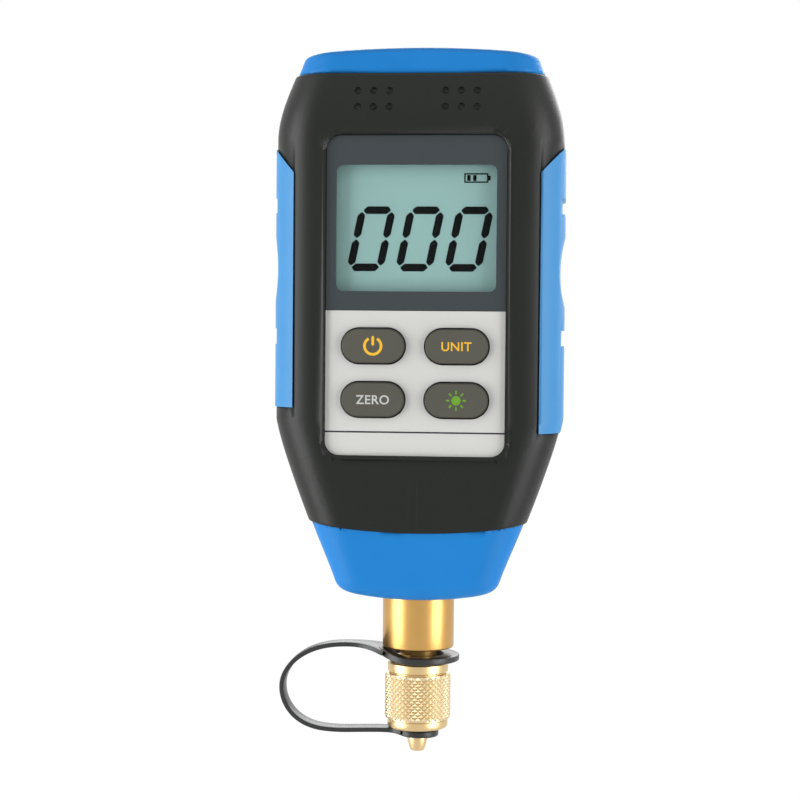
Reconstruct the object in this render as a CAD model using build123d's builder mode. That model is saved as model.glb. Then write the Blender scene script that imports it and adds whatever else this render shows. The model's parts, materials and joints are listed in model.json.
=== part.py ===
"""Digital compound gauge: a hand-held vacuum and pressure gauge with a flare port.

Millimetres. X is to the right, Y runs into the gauge from its front, Z is up.
The origin is the centre of the sealing end of the flare port.
"""
import os
from build123d import *
from math import pi

os.makedirs("parts", exist_ok=True)

# moulded body
BODY_HALF_WIDTH = 29.6
BODY_FRONT = 14.0
BODY_BACK = 15.0
BODY_CORNER = 9.0
FOOT_Z = 25.2
GRIP_ZONE_LOW = 62.5
GRIP_ZONE_HIGH = 120.0
BOOT_SEAM_Z = 41.4
BOOT_SEAM_DIP = 1.9
CAP_SEAM_Z = 133.3
CAP_SEAM_DIP = 0.1
TOP_Z = 138.6
TOP_BOW = 1.3
SEAM_ROUND = 0.5
WALL = 2.2
END_STEP = 0.5
SLIP = 0.05
SCREW_SLIP = 0.02

# boot and top cover
BOOT_WALL = 2.2
BOOT_FLOOR = 5.0
BOOT_FOOT_ROUND = 3.4
BOOT_FOOT_BOW = 1.9
SKIRT_DEPTH = 8.0
SKIRT_WALL = 1.6
COVER_ROOF = 2.4
COVER_ROUND = 1.5
SPIGOT_DEPTH = 3.0
SPIGOT_WALL = 1.5

# side grips
GRIP_EDGE_X = 25.1
GRIP_OUTER_HIGH = 118.1
GRIP_INNER_HIGH = 113.0
LEFT_GRIP_LOW = 65.0
RIGHT_GRIP_LOW = 60.2
GRIP_PROUD = 0.3
GRIP_DEPTH = 1.3
GRIP_GAP = 0.08
GRIP_NOTCH_DEPTH = 0.7
GRIP_NOTCH_HEIGHT = 3.2
GRIP_NOTCH_LOW_Z = 79.6
GRIP_NOTCH_HIGH_Z = 106.6
THUMB_Z = 93.5
THUMB_HEIGHT = 15.0
THUMB_DEPTH = 1.05

# front panel
PANEL_WIDTH = 36.8
PANEL_LOW = 55.4
PANEL_HIGH = 120.5
PANEL_CORNER = 3.0
PANEL_DEPTH = 1.0
PANEL_GAP = 0.1
PANEL_RIM_WIDTH = 0.7
PANEL_RIM_HEIGHT = 0.35
PLATE_THICKNESS = 0.7
PLATE_SPLIT_Z = 85.0
WINDOW_WIDTH = 32.6
WINDOW_HEIGHT = 25.6
WINDOW_Z = 101.7
WINDOW_CORNER = 1.4
LENS_LIP = 0.6
LCD_THICKNESS = 2.4
LCD_MARGIN = 1.7
HAIRLINE_Z = 60.3
HAIRLINE_WIDTH = 0.35

# dimples in the upper front
DIMPLE_DIAMETER = 1.5
DIMPLE_DEPTH = 0.45
DIMPLE_PITCH_X = 3.2
DIMPLE_PITCH_Z = 3.4
DIMPLE_FIELD_X = 8.9
DIMPLE_FIELD_Z = 127.9

# rubber keys
KEY_LENGTH = 12.9
KEY_WIDTH = 7.1
KEY_X = 8.5
KEY_UPPER_Z = 77.8
KEY_LOWER_Z = 66.9
KEY_PROUD = 0.9
KEY_GAP = 0.25
KEY_FLANGE = 0.9
KEY_FLANGE_THICKNESS = 1.0
KEY_STEM_LENGTH = 8.6
KEY_STEM_WIDTH = 4.0
KEY_TRAVEL = 0.8
KEY_ROUND = 0.35
MAT_THICKNESS = 2.0
MAT_MARGIN = 4.0
MAT_CORNER = 1.5
MAT_CLEARANCE = 1.2

# circuit board and its posts
BOARD_FRONT = 6.9
BOARD_THICKNESS = 1.6
BOARD_WIDTH = 40.0
BOARD_LOW = 56.0
BOARD_HIGH = 123.2
BOARD_CORNER = 1.0
BOARD_GAP = 0.02
POST_X = 17.4
POST_LOW_Z = 59.0
POST_HIGH_Z = 120.2
POST_DIAMETER = 4.4
BOARD_SCREW = 2.0
BOARD_SCREW_LENGTH = 5.4
BOARD_SCREW_HEAD = 3.8
BOARD_SCREW_HEAD_HEIGHT = 1.3
CHIP_SIZE = 9.0
CHIP_HEIGHT = 1.4
CHIP_CHAMFER = 0.25
BUZZER_DIAMETER = 9.0
BUZZER_HEIGHT = 4.0
BUZZER_HOLE = 2.0
BUZZER_HOLE_DEPTH = 1.0
BUZZER_X = -12.4

# cross drive of every screw, as shares of its head and shank
CROSS_REACH = 0.58
CROSS_WIDTH = 0.25
CROSS_DEPTH = 0.55

# case screws
CASE_SCREW = 2.5
CASE_SCREW_HEAD = 4.6
CASE_SCREW_HEAD_HEIGHT = 1.9
CASE_SCREW_LENGTH = 13.0
CASE_SCREW_SEAT = 6.5
BOSS_DIAMETER = 7.2
FRONT_BOSS_DIAMETER = 5.6
BOSS_LOW_X = 15.0
BOSS_LOW_Z = 50.0
BOSS_HIGH_X = 18.5
BOSS_HIGH_Z = 127.0

# batteries and their door
CELL_DIAMETER = 10.5
CELL_LENGTH = 43.7
CELL_NUB_DIAMETER = 3.8
CELL_NUB_HEIGHT = 0.8
CELL_PITCH = 11.2
CELL_AXIS_Y = 7.3
CELL_CHAMFER = 0.4
CELL_SHIFT = 1.0
CELL_STAGGER = 2.0
BAY_LOW = 69.0
BAY_HIGH = 118.0
BAY_WIDTH = 23.0
BAY_WALL = 1.2
BAY_FLOOR_Y = 1.6
CONTACT_THICKNESS = 0.4
CONTACT_WIDTH = 7.0
TAIL_WIDTH = 2.6
LEAF_WIDTH = 3.2
LEAF_THICKNESS = 0.45
LEAF_HALF_LENGTH = 3.0
LEAF_GAP = 0.03
DOOR_WIDTH = 34.0
DOOR_LOW = 64.5
DOOR_HIGH = 121.0
DOOR_THICKNESS = 1.8
DOOR_CORNER = 2.5
DOOR_GAP = 0.15
DOOR_LEDGE = 1.4
DOOR_HOOK_WIDTH = 5.0
DOOR_HOOK_X = 10.0
DOOR_HOOK_REACH = 1.3
DOOR_HOOK_THICKNESS = 0.8
DOOR_GROOVE_PITCH = 2.0
DOOR_GROOVE_LENGTH = 14.0
DOOR_GROOVE_WIDTH = 0.9
DOOR_GROOVE_DEPTH = 0.5
DOOR_GROOVE_DROP = 8.0

# brass port
EDGE_BREAK = 0.3
NECK_BREAK = 0.5
COLLAR_DIAMETER = 15.0
COLLAR_LOW = 14.5
COLLAR_HIGH = 26.6
NECK_DIAMETER = 7.8
NECK_LOW = 11.2
THREAD_DIAMETER = 11.0
PORT_BORE = 4.8
NOSE_LAND = 0.7
SPIGOT_DIAMETER = 10.0
STEM_TOP = 36.5
COUNTERBORE_TOP = 27.5
RING_SECTION = 0.86
RING_DIAMETER = 12.4
NUT_FLATS = 14.0
NUT_HEIGHT = 3.5
SENSOR_DIAMETER = 13.0
SENSOR_LOW = 33.8
SENSOR_TOP = 44.0
SENSOR_STEP = 2.0
SENSOR_STEP_WIDTH = 1.5
RIBBON_WIDTH = 6.0
RIBBON_THICKNESS = 0.8

# knurled cap
CAP_TOP = 11.0
CAP_BOTTOM = -3.0
CAP_BAND_DIAMETER = 12.7
CAP_KNURL_DIAMETER = 14.0
CAP_BORE_DIAMETER = 11.2
CAP_FLOOR = 1.8
KNURL_LOW = -1.0
KNURL_HIGH = 7.9
KNURL_COUNT = 24
KNURL_ROWS = 5
KNURL_HEIGHT = 0.42
NUB_TOP_DIAMETER = 4.3
NUB_TIP_DIAMETER = 2.9
NUB_TIP_Z = -7.5
NUB_GROOVE_DIAMETER = 3.4
NUB_GROOVE_HEIGHT = 1.3
NUB_SHOULDER = 0.2
NUB_HEAD = 0.8
BAND_GROOVE = 0.35
SEAL_DIAMETER = 10.8
SEAL_GAP = 0.02

# strap
STRAP_RING_OUTER = 17.4
STRAP_RING_INNER = 11.5
STRAP_RING_THICKNESS = 0.9
STRAP_RING_Z = 12.5
STRAP_SMALL_OUTER = 8.8
STRAP_SMALL_THICKNESS = 1.0
STRAP_WIDTH = 4.2
STRAP_THICKNESS = 0.8
STRAP_REACH = 28.8
STRAP_TOP_Z = 14.8
STRAP_OVERLAP = 1.2

# the body's cross-sections: height, width, front, back and corner as shares of the middle's
FOOT = (FOOT_Z, 0.562, 0.73, 0.71, 0.67)
ANKLE = (FOOT_Z + 0.5 * (BOOT_SEAM_Z - FOOT_Z), 0.655, 0.815, 0.80, 0.78)
SEAM = (BOOT_SEAM_Z, 0.767, 0.886, 0.88, 0.89)
CALF = (BOOT_SEAM_Z + 0.45 * (GRIP_ZONE_LOW - BOOT_SEAM_Z), 0.885, 0.95, 0.953, 0.96)
HIP = (BOOT_SEAM_Z + 0.8 * (GRIP_ZONE_LOW - BOOT_SEAM_Z), 0.966, 0.99, 0.99, 1.0)
WAIST = (GRIP_ZONE_LOW, 1.0, 1.0, 1.0, 1.0)
CHEST = (GRIP_ZONE_HIGH, 1.0, 1.0, 1.0, 1.0)
SHOULDER = (GRIP_ZONE_HIGH + 0.5 * (CAP_SEAM_Z - GRIP_ZONE_HIGH), 0.965, 0.95, 0.96, 1.0)
NECKLINE = (CAP_SEAM_Z, 0.883, 0.857, 0.88, 0.94)
CROWN = (TOP_Z, 0.820, 0.79, 0.83, 0.89)
LOWER_HALF = (FOOT, ANKLE, SEAM, CALF, HIP, WAIST)
UPPER_HALF = (CHEST, SHOULDER, NECKLINE, CROWN)

SLAB_REACH = BODY_HALF_WIDTH + 5
INNER_FRONT = BODY_FRONT - WALL
INNER_BACK = BODY_BACK - WALL
RECESS_Y = BODY_FRONT - PANEL_DEPTH
BOARD_BACK = BOARD_FRONT - BOARD_THICKNESS
PANEL_HEIGHT = PANEL_HIGH - PANEL_LOW
PANEL_MID = (PANEL_HIGH + PANEL_LOW) / 2
KEY_SPOTS = {
    "power_key": (-KEY_X, KEY_UPPER_Z),
    "unit_key": (KEY_X, KEY_UPPER_Z),
    "zero_key": (-KEY_X, KEY_LOWER_Z),
    "light_key": (KEY_X, KEY_LOWER_Z),
}
KEY_PLACES = [(x, z) for x, z in KEY_SPOTS.values()]
POST_PLACES = [(x, z) for x in (-POST_X, POST_X) for z in (POST_LOW_Z, POST_HIGH_Z)]
BOSS_PLACES = [
    (-BOSS_LOW_X, BOSS_LOW_Z),
    (BOSS_LOW_X, BOSS_LOW_Z),
    (-BOSS_HIGH_X, BOSS_HIGH_Z),
    (BOSS_HIGH_X, BOSS_HIGH_Z),
]


def front_plane(y):
    """A plane across the gauge at depth y, looked at from the front: X right, Z up."""
    return Plane(origin=(0, y, 0), x_dir=(1, 0, 0), z_dir=(0, -1, 0))


def cross_section(section, inset):
    """One rounded cross-section of the body, moved inwards by inset."""
    z, width, front, back, corner = section
    front_y = BODY_FRONT * front - inset
    back_y = BODY_BACK * back - inset
    with BuildSketch(Plane.XY.offset(z)) as outline:
        with Locations((0, (back_y - front_y) / 2)):
            RectangleRounded(
                2 * (BODY_HALF_WIDTH * width - inset),
                front_y + back_y,
                BODY_CORNER * corner - inset,
            )
    return outline.sketch


def tapered_end(sections, inset):
    """The lower or upper end of the body, lofted through its cross-sections."""
    with BuildPart() as end:
        for section in sections:
            add(cross_section(section, inset))
        loft()
    return end.part


def middle(inset):
    """The straight middle of the body."""
    with BuildPart() as trunk:
        add(cross_section(WAIST, inset))
        extrude(amount=GRIP_ZONE_HIGH - GRIP_ZONE_LOW, dir=(0, 0, 1))
    return trunk.part


def envelope(inset):
    """The body's whole outer form as one solid, moved inwards by inset."""
    with BuildPart() as form:
        add(tapered_end(LOWER_HALF, inset))
        add(middle(inset))
        add(tapered_end(UPPER_HALF, inset))
    return form.part


def bowed(z, half_width, dip):
    """Height of an arc at the slab's ends, where it dips in the middle by dip within half_width."""
    if not dip:
        return z
    radius = (half_width**2 + dip**2) / (2 * dip)
    return z - dip + radius - (1 if dip > 0 else -1) * (radius**2 - SLAB_REACH**2) ** 0.5


def band(low, high, low_dip=0.0, high_dip=0.0, low_width=1.0, high_width=1.0):
    """A slice across the whole body between two heights, its edges dipping in the middle."""
    low_end = bowed(low, BODY_HALF_WIDTH * low_width, low_dip)
    high_end = bowed(high, BODY_HALF_WIDTH * high_width, high_dip)
    with BuildPart() as slab:
        with BuildSketch(front_plane(0)):
            with BuildLine():
                for end, height, dip in ((low_end, low, low_dip), (high_end, high, high_dip)):
                    if dip:
                        ThreePointArc((-SLAB_REACH, end), (0, height - dip), (SLAB_REACH, end))
                    else:
                        Line((-SLAB_REACH, end), (SLAB_REACH, end))
                Line((-SLAB_REACH, low_end), (-SLAB_REACH, high_end))
                Line((SLAB_REACH, low_end), (SLAB_REACH, high_end))
            make_face()
        extrude(amount=BODY_BACK + 5, both=True)
    return slab.part


def grip_outline(side, low, gap):
    """The grip's outline seen from the front, cut through the whole depth."""
    far = side * (BODY_HALF_WIDTH + 3)
    near = side * (GRIP_EDGE_X + gap)
    slope = (GRIP_OUTER_HIGH - GRIP_INNER_HIGH) / (BODY_HALF_WIDTH - GRIP_EDGE_X)
    with BuildPart() as outline:
        with BuildSketch(front_plane(0)):
            with BuildLine():
                Polyline(
                    (near, low + gap),
                    (far, low + gap),
                    (far, GRIP_INNER_HIGH - gap + slope * (BODY_HALF_WIDTH + 3 - GRIP_EDGE_X)),
                    (near, GRIP_INNER_HIGH - gap + slope * gap),
                    close=True,
                )
            make_face()
        extrude(amount=BODY_BACK + 5, both=True)
    return outline.part


# the two shells are cut from one hollow casing
with BuildPart() as trunk:
    add(envelope(0))
    add(
        band(
            BOOT_SEAM_Z, CAP_SEAM_Z, BOOT_SEAM_DIP, CAP_SEAM_DIP, low_width=SEAM[1], high_width=NECKLINE[1]
        ),
        mode=Mode.INTERSECT,
    )
    fillet(trunk.faces().sort_by(Axis.Z)[0].edges() + trunk.faces().sort_by(Axis.Z)[-1].edges(), SEAM_ROUND)

with BuildPart() as skirt:
    add(tapered_end(LOWER_HALF, END_STEP + BOOT_WALL + SLIP))
    add(band(BOOT_SEAM_Z - SKIRT_DEPTH, BOOT_SEAM_Z + 1), mode=Mode.INTERSECT)

with BuildPart() as hollow:
    add(envelope(WALL))
    add(band(BOOT_SEAM_Z + WALL, TOP_Z + 4), mode=Mode.INTERSECT)

with BuildPart() as throat:
    add(tapered_end(LOWER_HALF, END_STEP + BOOT_WALL + SLIP + SKIRT_WALL))
    add(band(BOOT_SEAM_Z - SKIRT_DEPTH - 1, BOOT_SEAM_Z + WALL + 1), mode=Mode.INTERSECT)

with BuildPart() as grip_pockets:
    add(grip_outline(-1, LEFT_GRIP_LOW, 0))
    add(grip_outline(1, RIGHT_GRIP_LOW, 0))
    add(envelope(GRIP_DEPTH), mode=Mode.SUBTRACT)

with BuildPart() as casing:
    add(trunk.part)
    add(skirt.part)
    add(hollow.part, mode=Mode.SUBTRACT)
    add(throat.part, mode=Mode.SUBTRACT)
    add(grip_pockets.part, mode=Mode.SUBTRACT)

with BuildPart() as front_furniture:
    # rim round the panel, posts for the board, bosses for the case screws
    with BuildSketch(front_plane(-BODY_FRONT + 0.3)):
        with Locations((0, PANEL_MID)):
            RectangleRounded(
                PANEL_WIDTH + 2 * PANEL_RIM_WIDTH,
                PANEL_HEIGHT + 2 * PANEL_RIM_WIDTH,
                PANEL_CORNER + PANEL_RIM_WIDTH,
            )
            RectangleRounded(PANEL_WIDTH, PANEL_HEIGHT, PANEL_CORNER, mode=Mode.SUBTRACT)
    extrude(amount=0.3 + PANEL_RIM_HEIGHT)
    with BuildSketch(front_plane(-BOARD_FRONT)):
        with Locations(*POST_PLACES):
            Circle(POST_DIAMETER / 2)
    extrude(amount=INNER_FRONT + 0.2 - BOARD_FRONT)
    with BuildSketch(front_plane(0)):
        with Locations(*BOSS_PLACES):
            Circle(FRONT_BOSS_DIAMETER / 2)
    extrude(amount=0.88 * BODY_FRONT - 0.5 * WALL)

# the upper front leans back between the shoulder and the neckline
brow_rise = NECKLINE[0] - SHOULDER[0]
brow_lean = BODY_FRONT * (SHOULDER[2] - NECKLINE[2])
brow = Plane(
    origin=(0, -BODY_FRONT * SHOULDER[2], SHOULDER[0]), x_dir=(1, 0, 0), z_dir=(0, -brow_rise, brow_lean)
)

with BuildPart() as front_cuts:
    # panel recess, window, key holes, screw holes and dimples
    with BuildSketch(front_plane(-RECESS_Y)):
        with Locations((0, PANEL_MID)):
            RectangleRounded(PANEL_WIDTH, PANEL_HEIGHT, PANEL_CORNER)
    extrude(amount=5)
    with BuildSketch(front_plane(-INNER_FRONT + 0.5)):
        with Locations((0, WINDOW_Z)):
            RectangleRounded(WINDOW_WIDTH + 2 * LENS_LIP, WINDOW_HEIGHT + 2 * LENS_LIP, WINDOW_CORNER)
        with Locations(*KEY_PLACES):
            SlotOverall(KEY_LENGTH + 2 * KEY_GAP, KEY_WIDTH + 2 * KEY_GAP)
    extrude(amount=BODY_FRONT)
    with BuildSketch(front_plane(0.5)):
        with Locations(*BOSS_PLACES):
            Circle(CASE_SCREW / 2 + SCREW_SLIP)
    extrude(amount=CASE_SCREW_LENGTH - CASE_SCREW_SEAT + 1.0)
    with BuildSketch(front_plane(-BOARD_FRONT + 0.5)):
        with Locations(*POST_PLACES):
            Circle(BOARD_SCREW / 2 + SCREW_SLIP)
    extrude(amount=BOARD_SCREW_LENGTH - BOARD_THICKNESS + 0.9)
    with BuildSketch(brow.offset(-DIMPLE_DEPTH)):
        for side in (-1, 1):
            with Locations((side * DIMPLE_FIELD_X, DIMPLE_FIELD_Z - SHOULDER[0])):
                with GridLocations(DIMPLE_PITCH_X, DIMPLE_PITCH_Z, 3, 2):
                    Circle(DIMPLE_DIAMETER / 2)
    extrude(amount=3)

with BuildPart() as front_shell:
    add(casing.part)
    split(bisect_by=Plane.XZ, keep=Keep.TOP)
    add(front_furniture.part)
    add(front_cuts.part, mode=Mode.SUBTRACT)
front_shell.part.label = "front_shell"
export_step(front_shell.part, "parts/front_shell.step")

with BuildPart() as rear_furniture:
    # bosses for the case screws, walls of the battery bay and ledge under the door
    with BuildSketch(front_plane(0)):
        with Locations(*BOSS_PLACES):
            Circle(BOSS_DIAMETER / 2)
    extrude(amount=-(0.88 * BODY_BACK - 0.5 * WALL))
    with BuildSketch(front_plane(INNER_BACK + 0.2)):
        with Locations((0, (BAY_LOW + BAY_HIGH) / 2)):
            Rectangle(BAY_WIDTH + 2 * BAY_WALL, BAY_HIGH - BAY_LOW + 2 * BAY_WALL)
    extrude(amount=INNER_BACK + 0.2 - BAY_FLOOR_Y + BAY_WALL)
    with BuildSketch(front_plane(INNER_BACK + 0.2)):
        with Locations((0, BAY_LOW - BAY_WALL)):
            Rectangle(
                DOOR_WIDTH + 2 * DOOR_LEDGE,
                DOOR_HIGH + DOOR_LEDGE - BAY_LOW + BAY_WALL,
                align=(Align.CENTER, Align.MIN),
            )
    extrude(amount=DOOR_LEDGE)

with BuildPart() as rear_cuts:
    # battery bay, door seat, room for the hooks, screw holes and slots for the contacts
    with BuildSketch(front_plane(BAY_FLOOR_Y)):
        with Locations((0, (BAY_LOW + BAY_HIGH) / 2)):
            Rectangle(BAY_WIDTH, BAY_HIGH - BAY_LOW)
    extrude(amount=-BODY_BACK)
    with BuildSketch(front_plane(BODY_BACK - DOOR_THICKNESS)):
        with Locations((0, (DOOR_LOW + DOOR_HIGH) / 2)):
            RectangleRounded(DOOR_WIDTH + 2 * DOOR_GAP, DOOR_HIGH - DOOR_LOW + 2 * DOOR_GAP, DOOR_CORNER)
    extrude(amount=-5)
    with BuildSketch(front_plane(BODY_BACK - DOOR_THICKNESS - 4)):
        with Locations((0, DOOR_LOW + 1.5)):
            Rectangle(2 * DOOR_HOOK_X + DOOR_HOOK_WIDTH + 1, 3.6)
    extrude(amount=-5)
    with BuildSketch(front_plane(-0.5)):
        with Locations(*BOSS_PLACES):
            Circle(CASE_SCREW / 2 + 3 * SLIP)
    extrude(amount=-BODY_BACK)
    with BuildSketch(front_plane(CASE_SCREW_SEAT)):
        with Locations(*BOSS_PLACES):
            Circle(CASE_SCREW_HEAD / 2 + 4 * SLIP)
    extrude(amount=-BODY_BACK)
    with BuildSketch(front_plane(-BODY_FRONT / 2)):
        for x in (-CELL_PITCH / 2, CELL_PITCH / 2):
            with Locations((x, BAY_HIGH - 0.6)):
                Rectangle(3.4, 1.4)
    extrude(amount=-(BODY_FRONT / 2 + CELL_AXIS_Y))

with BuildPart() as rear_shell:
    add(casing.part)
    split(bisect_by=Plane.XZ, keep=Keep.BOTTOM)
    add(rear_furniture.part)
    add(rear_cuts.part, mode=Mode.SUBTRACT)
rear_shell.part.label = "rear_shell"
export_step(rear_shell.part, "parts/rear_shell.step")

with BuildPart() as boot_hollow:
    add(tapered_end(LOWER_HALF, END_STEP + BOOT_WALL))
    add(band(FOOT_Z + BOOT_FLOOR, BOOT_SEAM_Z + 5), mode=Mode.INTERSECT)

with BuildPart() as bottom_boot:
    add(tapered_end(LOWER_HALF, END_STEP))
    add(
        band(
            FOOT_Z + BOOT_FOOT_BOW,
            BOOT_SEAM_Z,
            BOOT_FOOT_BOW,
            BOOT_SEAM_DIP,
            low_width=FOOT[1],
            high_width=SEAM[1],
        ),
        mode=Mode.INTERSECT,
    )
    fillet(bottom_boot.faces().sort_by(Axis.Z)[0].edges(), BOOT_FOOT_ROUND)
    add(boot_hollow.part, mode=Mode.SUBTRACT)
    with BuildSketch(Plane.XY.offset(FOOT_Z - 1)):
        Circle(SPIGOT_DIAMETER / 2 + SLIP)
    extrude(amount=BOOT_FLOOR + 3, mode=Mode.SUBTRACT)
    with BuildSketch(Plane.XY.offset(FOOT_Z - 1)):
        Circle(COLLAR_DIAMETER / 2 + SLIP)
    extrude(amount=COUNTERBORE_TOP - FOOT_Z + 1, mode=Mode.SUBTRACT)
bottom_boot.part.label = "bottom_boot"
export_step(bottom_boot.part, "parts/bottom_boot.step")

with BuildPart() as plug:
    add(tapered_end(UPPER_HALF, WALL + SLIP))
    add(band(CAP_SEAM_Z - SPIGOT_DEPTH, CAP_SEAM_Z + 1), mode=Mode.INTERSECT)

with BuildPart() as plug_hollow:
    add(tapered_end(UPPER_HALF, WALL + SLIP + SPIGOT_WALL))
    add(band(CAP_SEAM_Z - SPIGOT_DEPTH - 1, TOP_Z - TOP_BOW - COVER_ROOF), mode=Mode.INTERSECT)

with BuildPart() as top_cap:
    add(tapered_end(UPPER_HALF, END_STEP))
    add(
        band(CAP_SEAM_Z, TOP_Z - TOP_BOW, CAP_SEAM_DIP, -TOP_BOW, low_width=NECKLINE[1], high_width=CROWN[1]),
        mode=Mode.INTERSECT,
    )
    fillet(top_cap.faces().sort_by(Axis.Z)[-1].edges(), COVER_ROUND)
    add(plug.part)
    add(plug_hollow.part, mode=Mode.SUBTRACT)
top_cap.part.label = "top_cap"
export_step(top_cap.part, "parts/top_cap.step")

for grip_name, side, grip_low in (("left_grip", -1, LEFT_GRIP_LOW), ("right_grip", 1, RIGHT_GRIP_LOW)):
    with BuildPart() as grip:
        add(envelope(-GRIP_PROUD))
        add(grip_outline(side, grip_low, GRIP_GAP), mode=Mode.INTERSECT)
        add(envelope(GRIP_DEPTH - SLIP), mode=Mode.SUBTRACT)
        # a long hollow for the thumb between two notches
        thumb_radius = THUMB_HEIGHT**2 / (8 * THUMB_DEPTH)
        with BuildSketch(front_plane(0)):
            with Locations((side * (BODY_HALF_WIDTH + GRIP_PROUD - THUMB_DEPTH + thumb_radius), THUMB_Z)):
                Circle(thumb_radius)
            for notch_z in (GRIP_NOTCH_LOW_Z, GRIP_NOTCH_HIGH_Z):
                with Locations((side * (BODY_HALF_WIDTH + GRIP_PROUD), notch_z)):
                    Rectangle(2 * GRIP_NOTCH_DEPTH, GRIP_NOTCH_HEIGHT)
        extrude(amount=BODY_BACK + 5, both=True, mode=Mode.SUBTRACT)
    grip.part.label = grip_name
    export_step(grip.part, "parts/" + grip_name + ".step")

with BuildPart() as display_frame:
    with BuildSketch(front_plane(-RECESS_Y)):
        with Locations((0, PANEL_MID)):
            RectangleRounded(PANEL_WIDTH - 2 * PANEL_GAP, PANEL_HEIGHT - 2 * PANEL_GAP, PANEL_CORNER - PANEL_GAP)
        with Locations((0, PLATE_SPLIT_Z + SLIP)):
            Rectangle(PANEL_WIDTH, PANEL_HEIGHT, align=(Align.CENTER, Align.MIN), mode=Mode.INTERSECT)
        with Locations((0, WINDOW_Z)):
            RectangleRounded(WINDOW_WIDTH, WINDOW_HEIGHT, WINDOW_CORNER, mode=Mode.SUBTRACT)
    extrude(amount=PLATE_THICKNESS)
display_frame.part.label = "display_frame"
export_step(display_frame.part, "parts/display_frame.step")

with BuildPart() as keypad_fascia:
    with BuildSketch(front_plane(-RECESS_Y)):
        with Locations((0, PANEL_MID)):
            RectangleRounded(PANEL_WIDTH - 2 * PANEL_GAP, PANEL_HEIGHT - 2 * PANEL_GAP, PANEL_CORNER - PANEL_GAP)
        with Locations((0, PLATE_SPLIT_Z - SLIP)):
            Rectangle(PANEL_WIDTH, PANEL_HEIGHT, align=(Align.CENTER, Align.MAX), mode=Mode.INTERSECT)
        with Locations(*KEY_PLACES):
            SlotOverall(KEY_LENGTH + 2 * KEY_GAP, KEY_WIDTH + 2 * KEY_GAP, mode=Mode.SUBTRACT)
    extrude(amount=PLATE_THICKNESS)
    with BuildSketch(front_plane(-RECESS_Y - PLATE_THICKNESS)):
        with Locations((0, HAIRLINE_Z)):
            Rectangle(PANEL_WIDTH, HAIRLINE_WIDTH)
    extrude(amount=-0.2, mode=Mode.SUBTRACT)
keypad_fascia.part.label = "keypad_fascia"
export_step(keypad_fascia.part, "parts/keypad_fascia.step")

with BuildPart() as display_lens:
    with BuildSketch(front_plane(-INNER_FRONT - SLIP)):
        with Locations((0, WINDOW_Z)):
            RectangleRounded(
                WINDOW_WIDTH + 2 * LENS_LIP - 2 * SLIP,
                WINDOW_HEIGHT + 2 * LENS_LIP - 2 * SLIP,
                WINDOW_CORNER,
            )
    extrude(amount=RECESS_Y - INNER_FRONT - 2 * SLIP)
    with BuildSketch(front_plane(-RECESS_Y + SLIP)):
        with Locations((0, WINDOW_Z)):
            RectangleRounded(WINDOW_WIDTH - 2 * SLIP, WINDOW_HEIGHT - 2 * SLIP, WINDOW_CORNER - SLIP)
    extrude(amount=PLATE_THICKNESS - SLIP)
display_lens.part.label = "display_lens"
export_step(display_lens.part, "parts/display_lens.step")

with BuildPart() as lcd_panel:
    with BuildSketch(front_plane(-INNER_FRONT)):
        with Locations((0, WINDOW_Z)):
            Rectangle(WINDOW_WIDTH + 2 * LCD_MARGIN, WINDOW_HEIGHT + 2 * LCD_MARGIN)
    extrude(amount=-LCD_THICKNESS / 2)
    with BuildSketch(front_plane(-INNER_FRONT + LCD_THICKNESS / 2)):
        with Locations((0, WINDOW_Z + 0.8)):
            Rectangle(WINDOW_WIDTH + 2 * LCD_MARGIN, WINDOW_HEIGHT + 2 * LCD_MARGIN - 1.6)
    extrude(amount=-LCD_THICKNESS / 2)
lcd_panel.part.label = "lcd_panel"
export_step(lcd_panel.part, "parts/lcd_panel.step")

with BuildPart() as backlight_plate:
    with BuildSketch(front_plane(-INNER_FRONT + LCD_THICKNESS)):
        with Locations((0, WINDOW_Z)):
            Rectangle(WINDOW_WIDTH + 2 * LCD_MARGIN - 2, WINDOW_HEIGHT + 2 * LCD_MARGIN - 2)
    extrude(amount=BOARD_FRONT + LCD_THICKNESS - INNER_FRONT)
backlight_plate.part.label = "backlight_plate"
export_step(backlight_plate.part, "parts/backlight_plate.step")

for key_name, key_place in KEY_SPOTS.items():
    with BuildPart() as key:
        with BuildSketch(front_plane(-INNER_FRONT + SLIP)):
            with Locations(key_place):
                SlotOverall(KEY_LENGTH, KEY_WIDTH)
        extrude(amount=BODY_FRONT + KEY_PROUD - PANEL_DEPTH + PLATE_THICKNESS - INNER_FRONT + SLIP)
        fillet(key.faces().sort_by(Axis.Y)[0].edges(), KEY_ROUND)
        with BuildSketch(front_plane(-INNER_FRONT + SLIP)):
            with Locations(key_place):
                SlotOverall(KEY_LENGTH + 2 * KEY_FLANGE, KEY_WIDTH + 2 * KEY_FLANGE)
        extrude(amount=-KEY_FLANGE_THICKNESS)
        with BuildSketch(front_plane(-BOARD_FRONT - KEY_TRAVEL - SLIP)):
            with Locations(key_place):
                SlotOverall(KEY_STEM_LENGTH, KEY_STEM_WIDTH)
        extrude(amount=INNER_FRONT - SLIP - BOARD_FRONT - KEY_TRAVEL - SLIP)
    key.part.label = key_name
    export_step(key.part, "parts/" + key_name + ".step")

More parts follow.
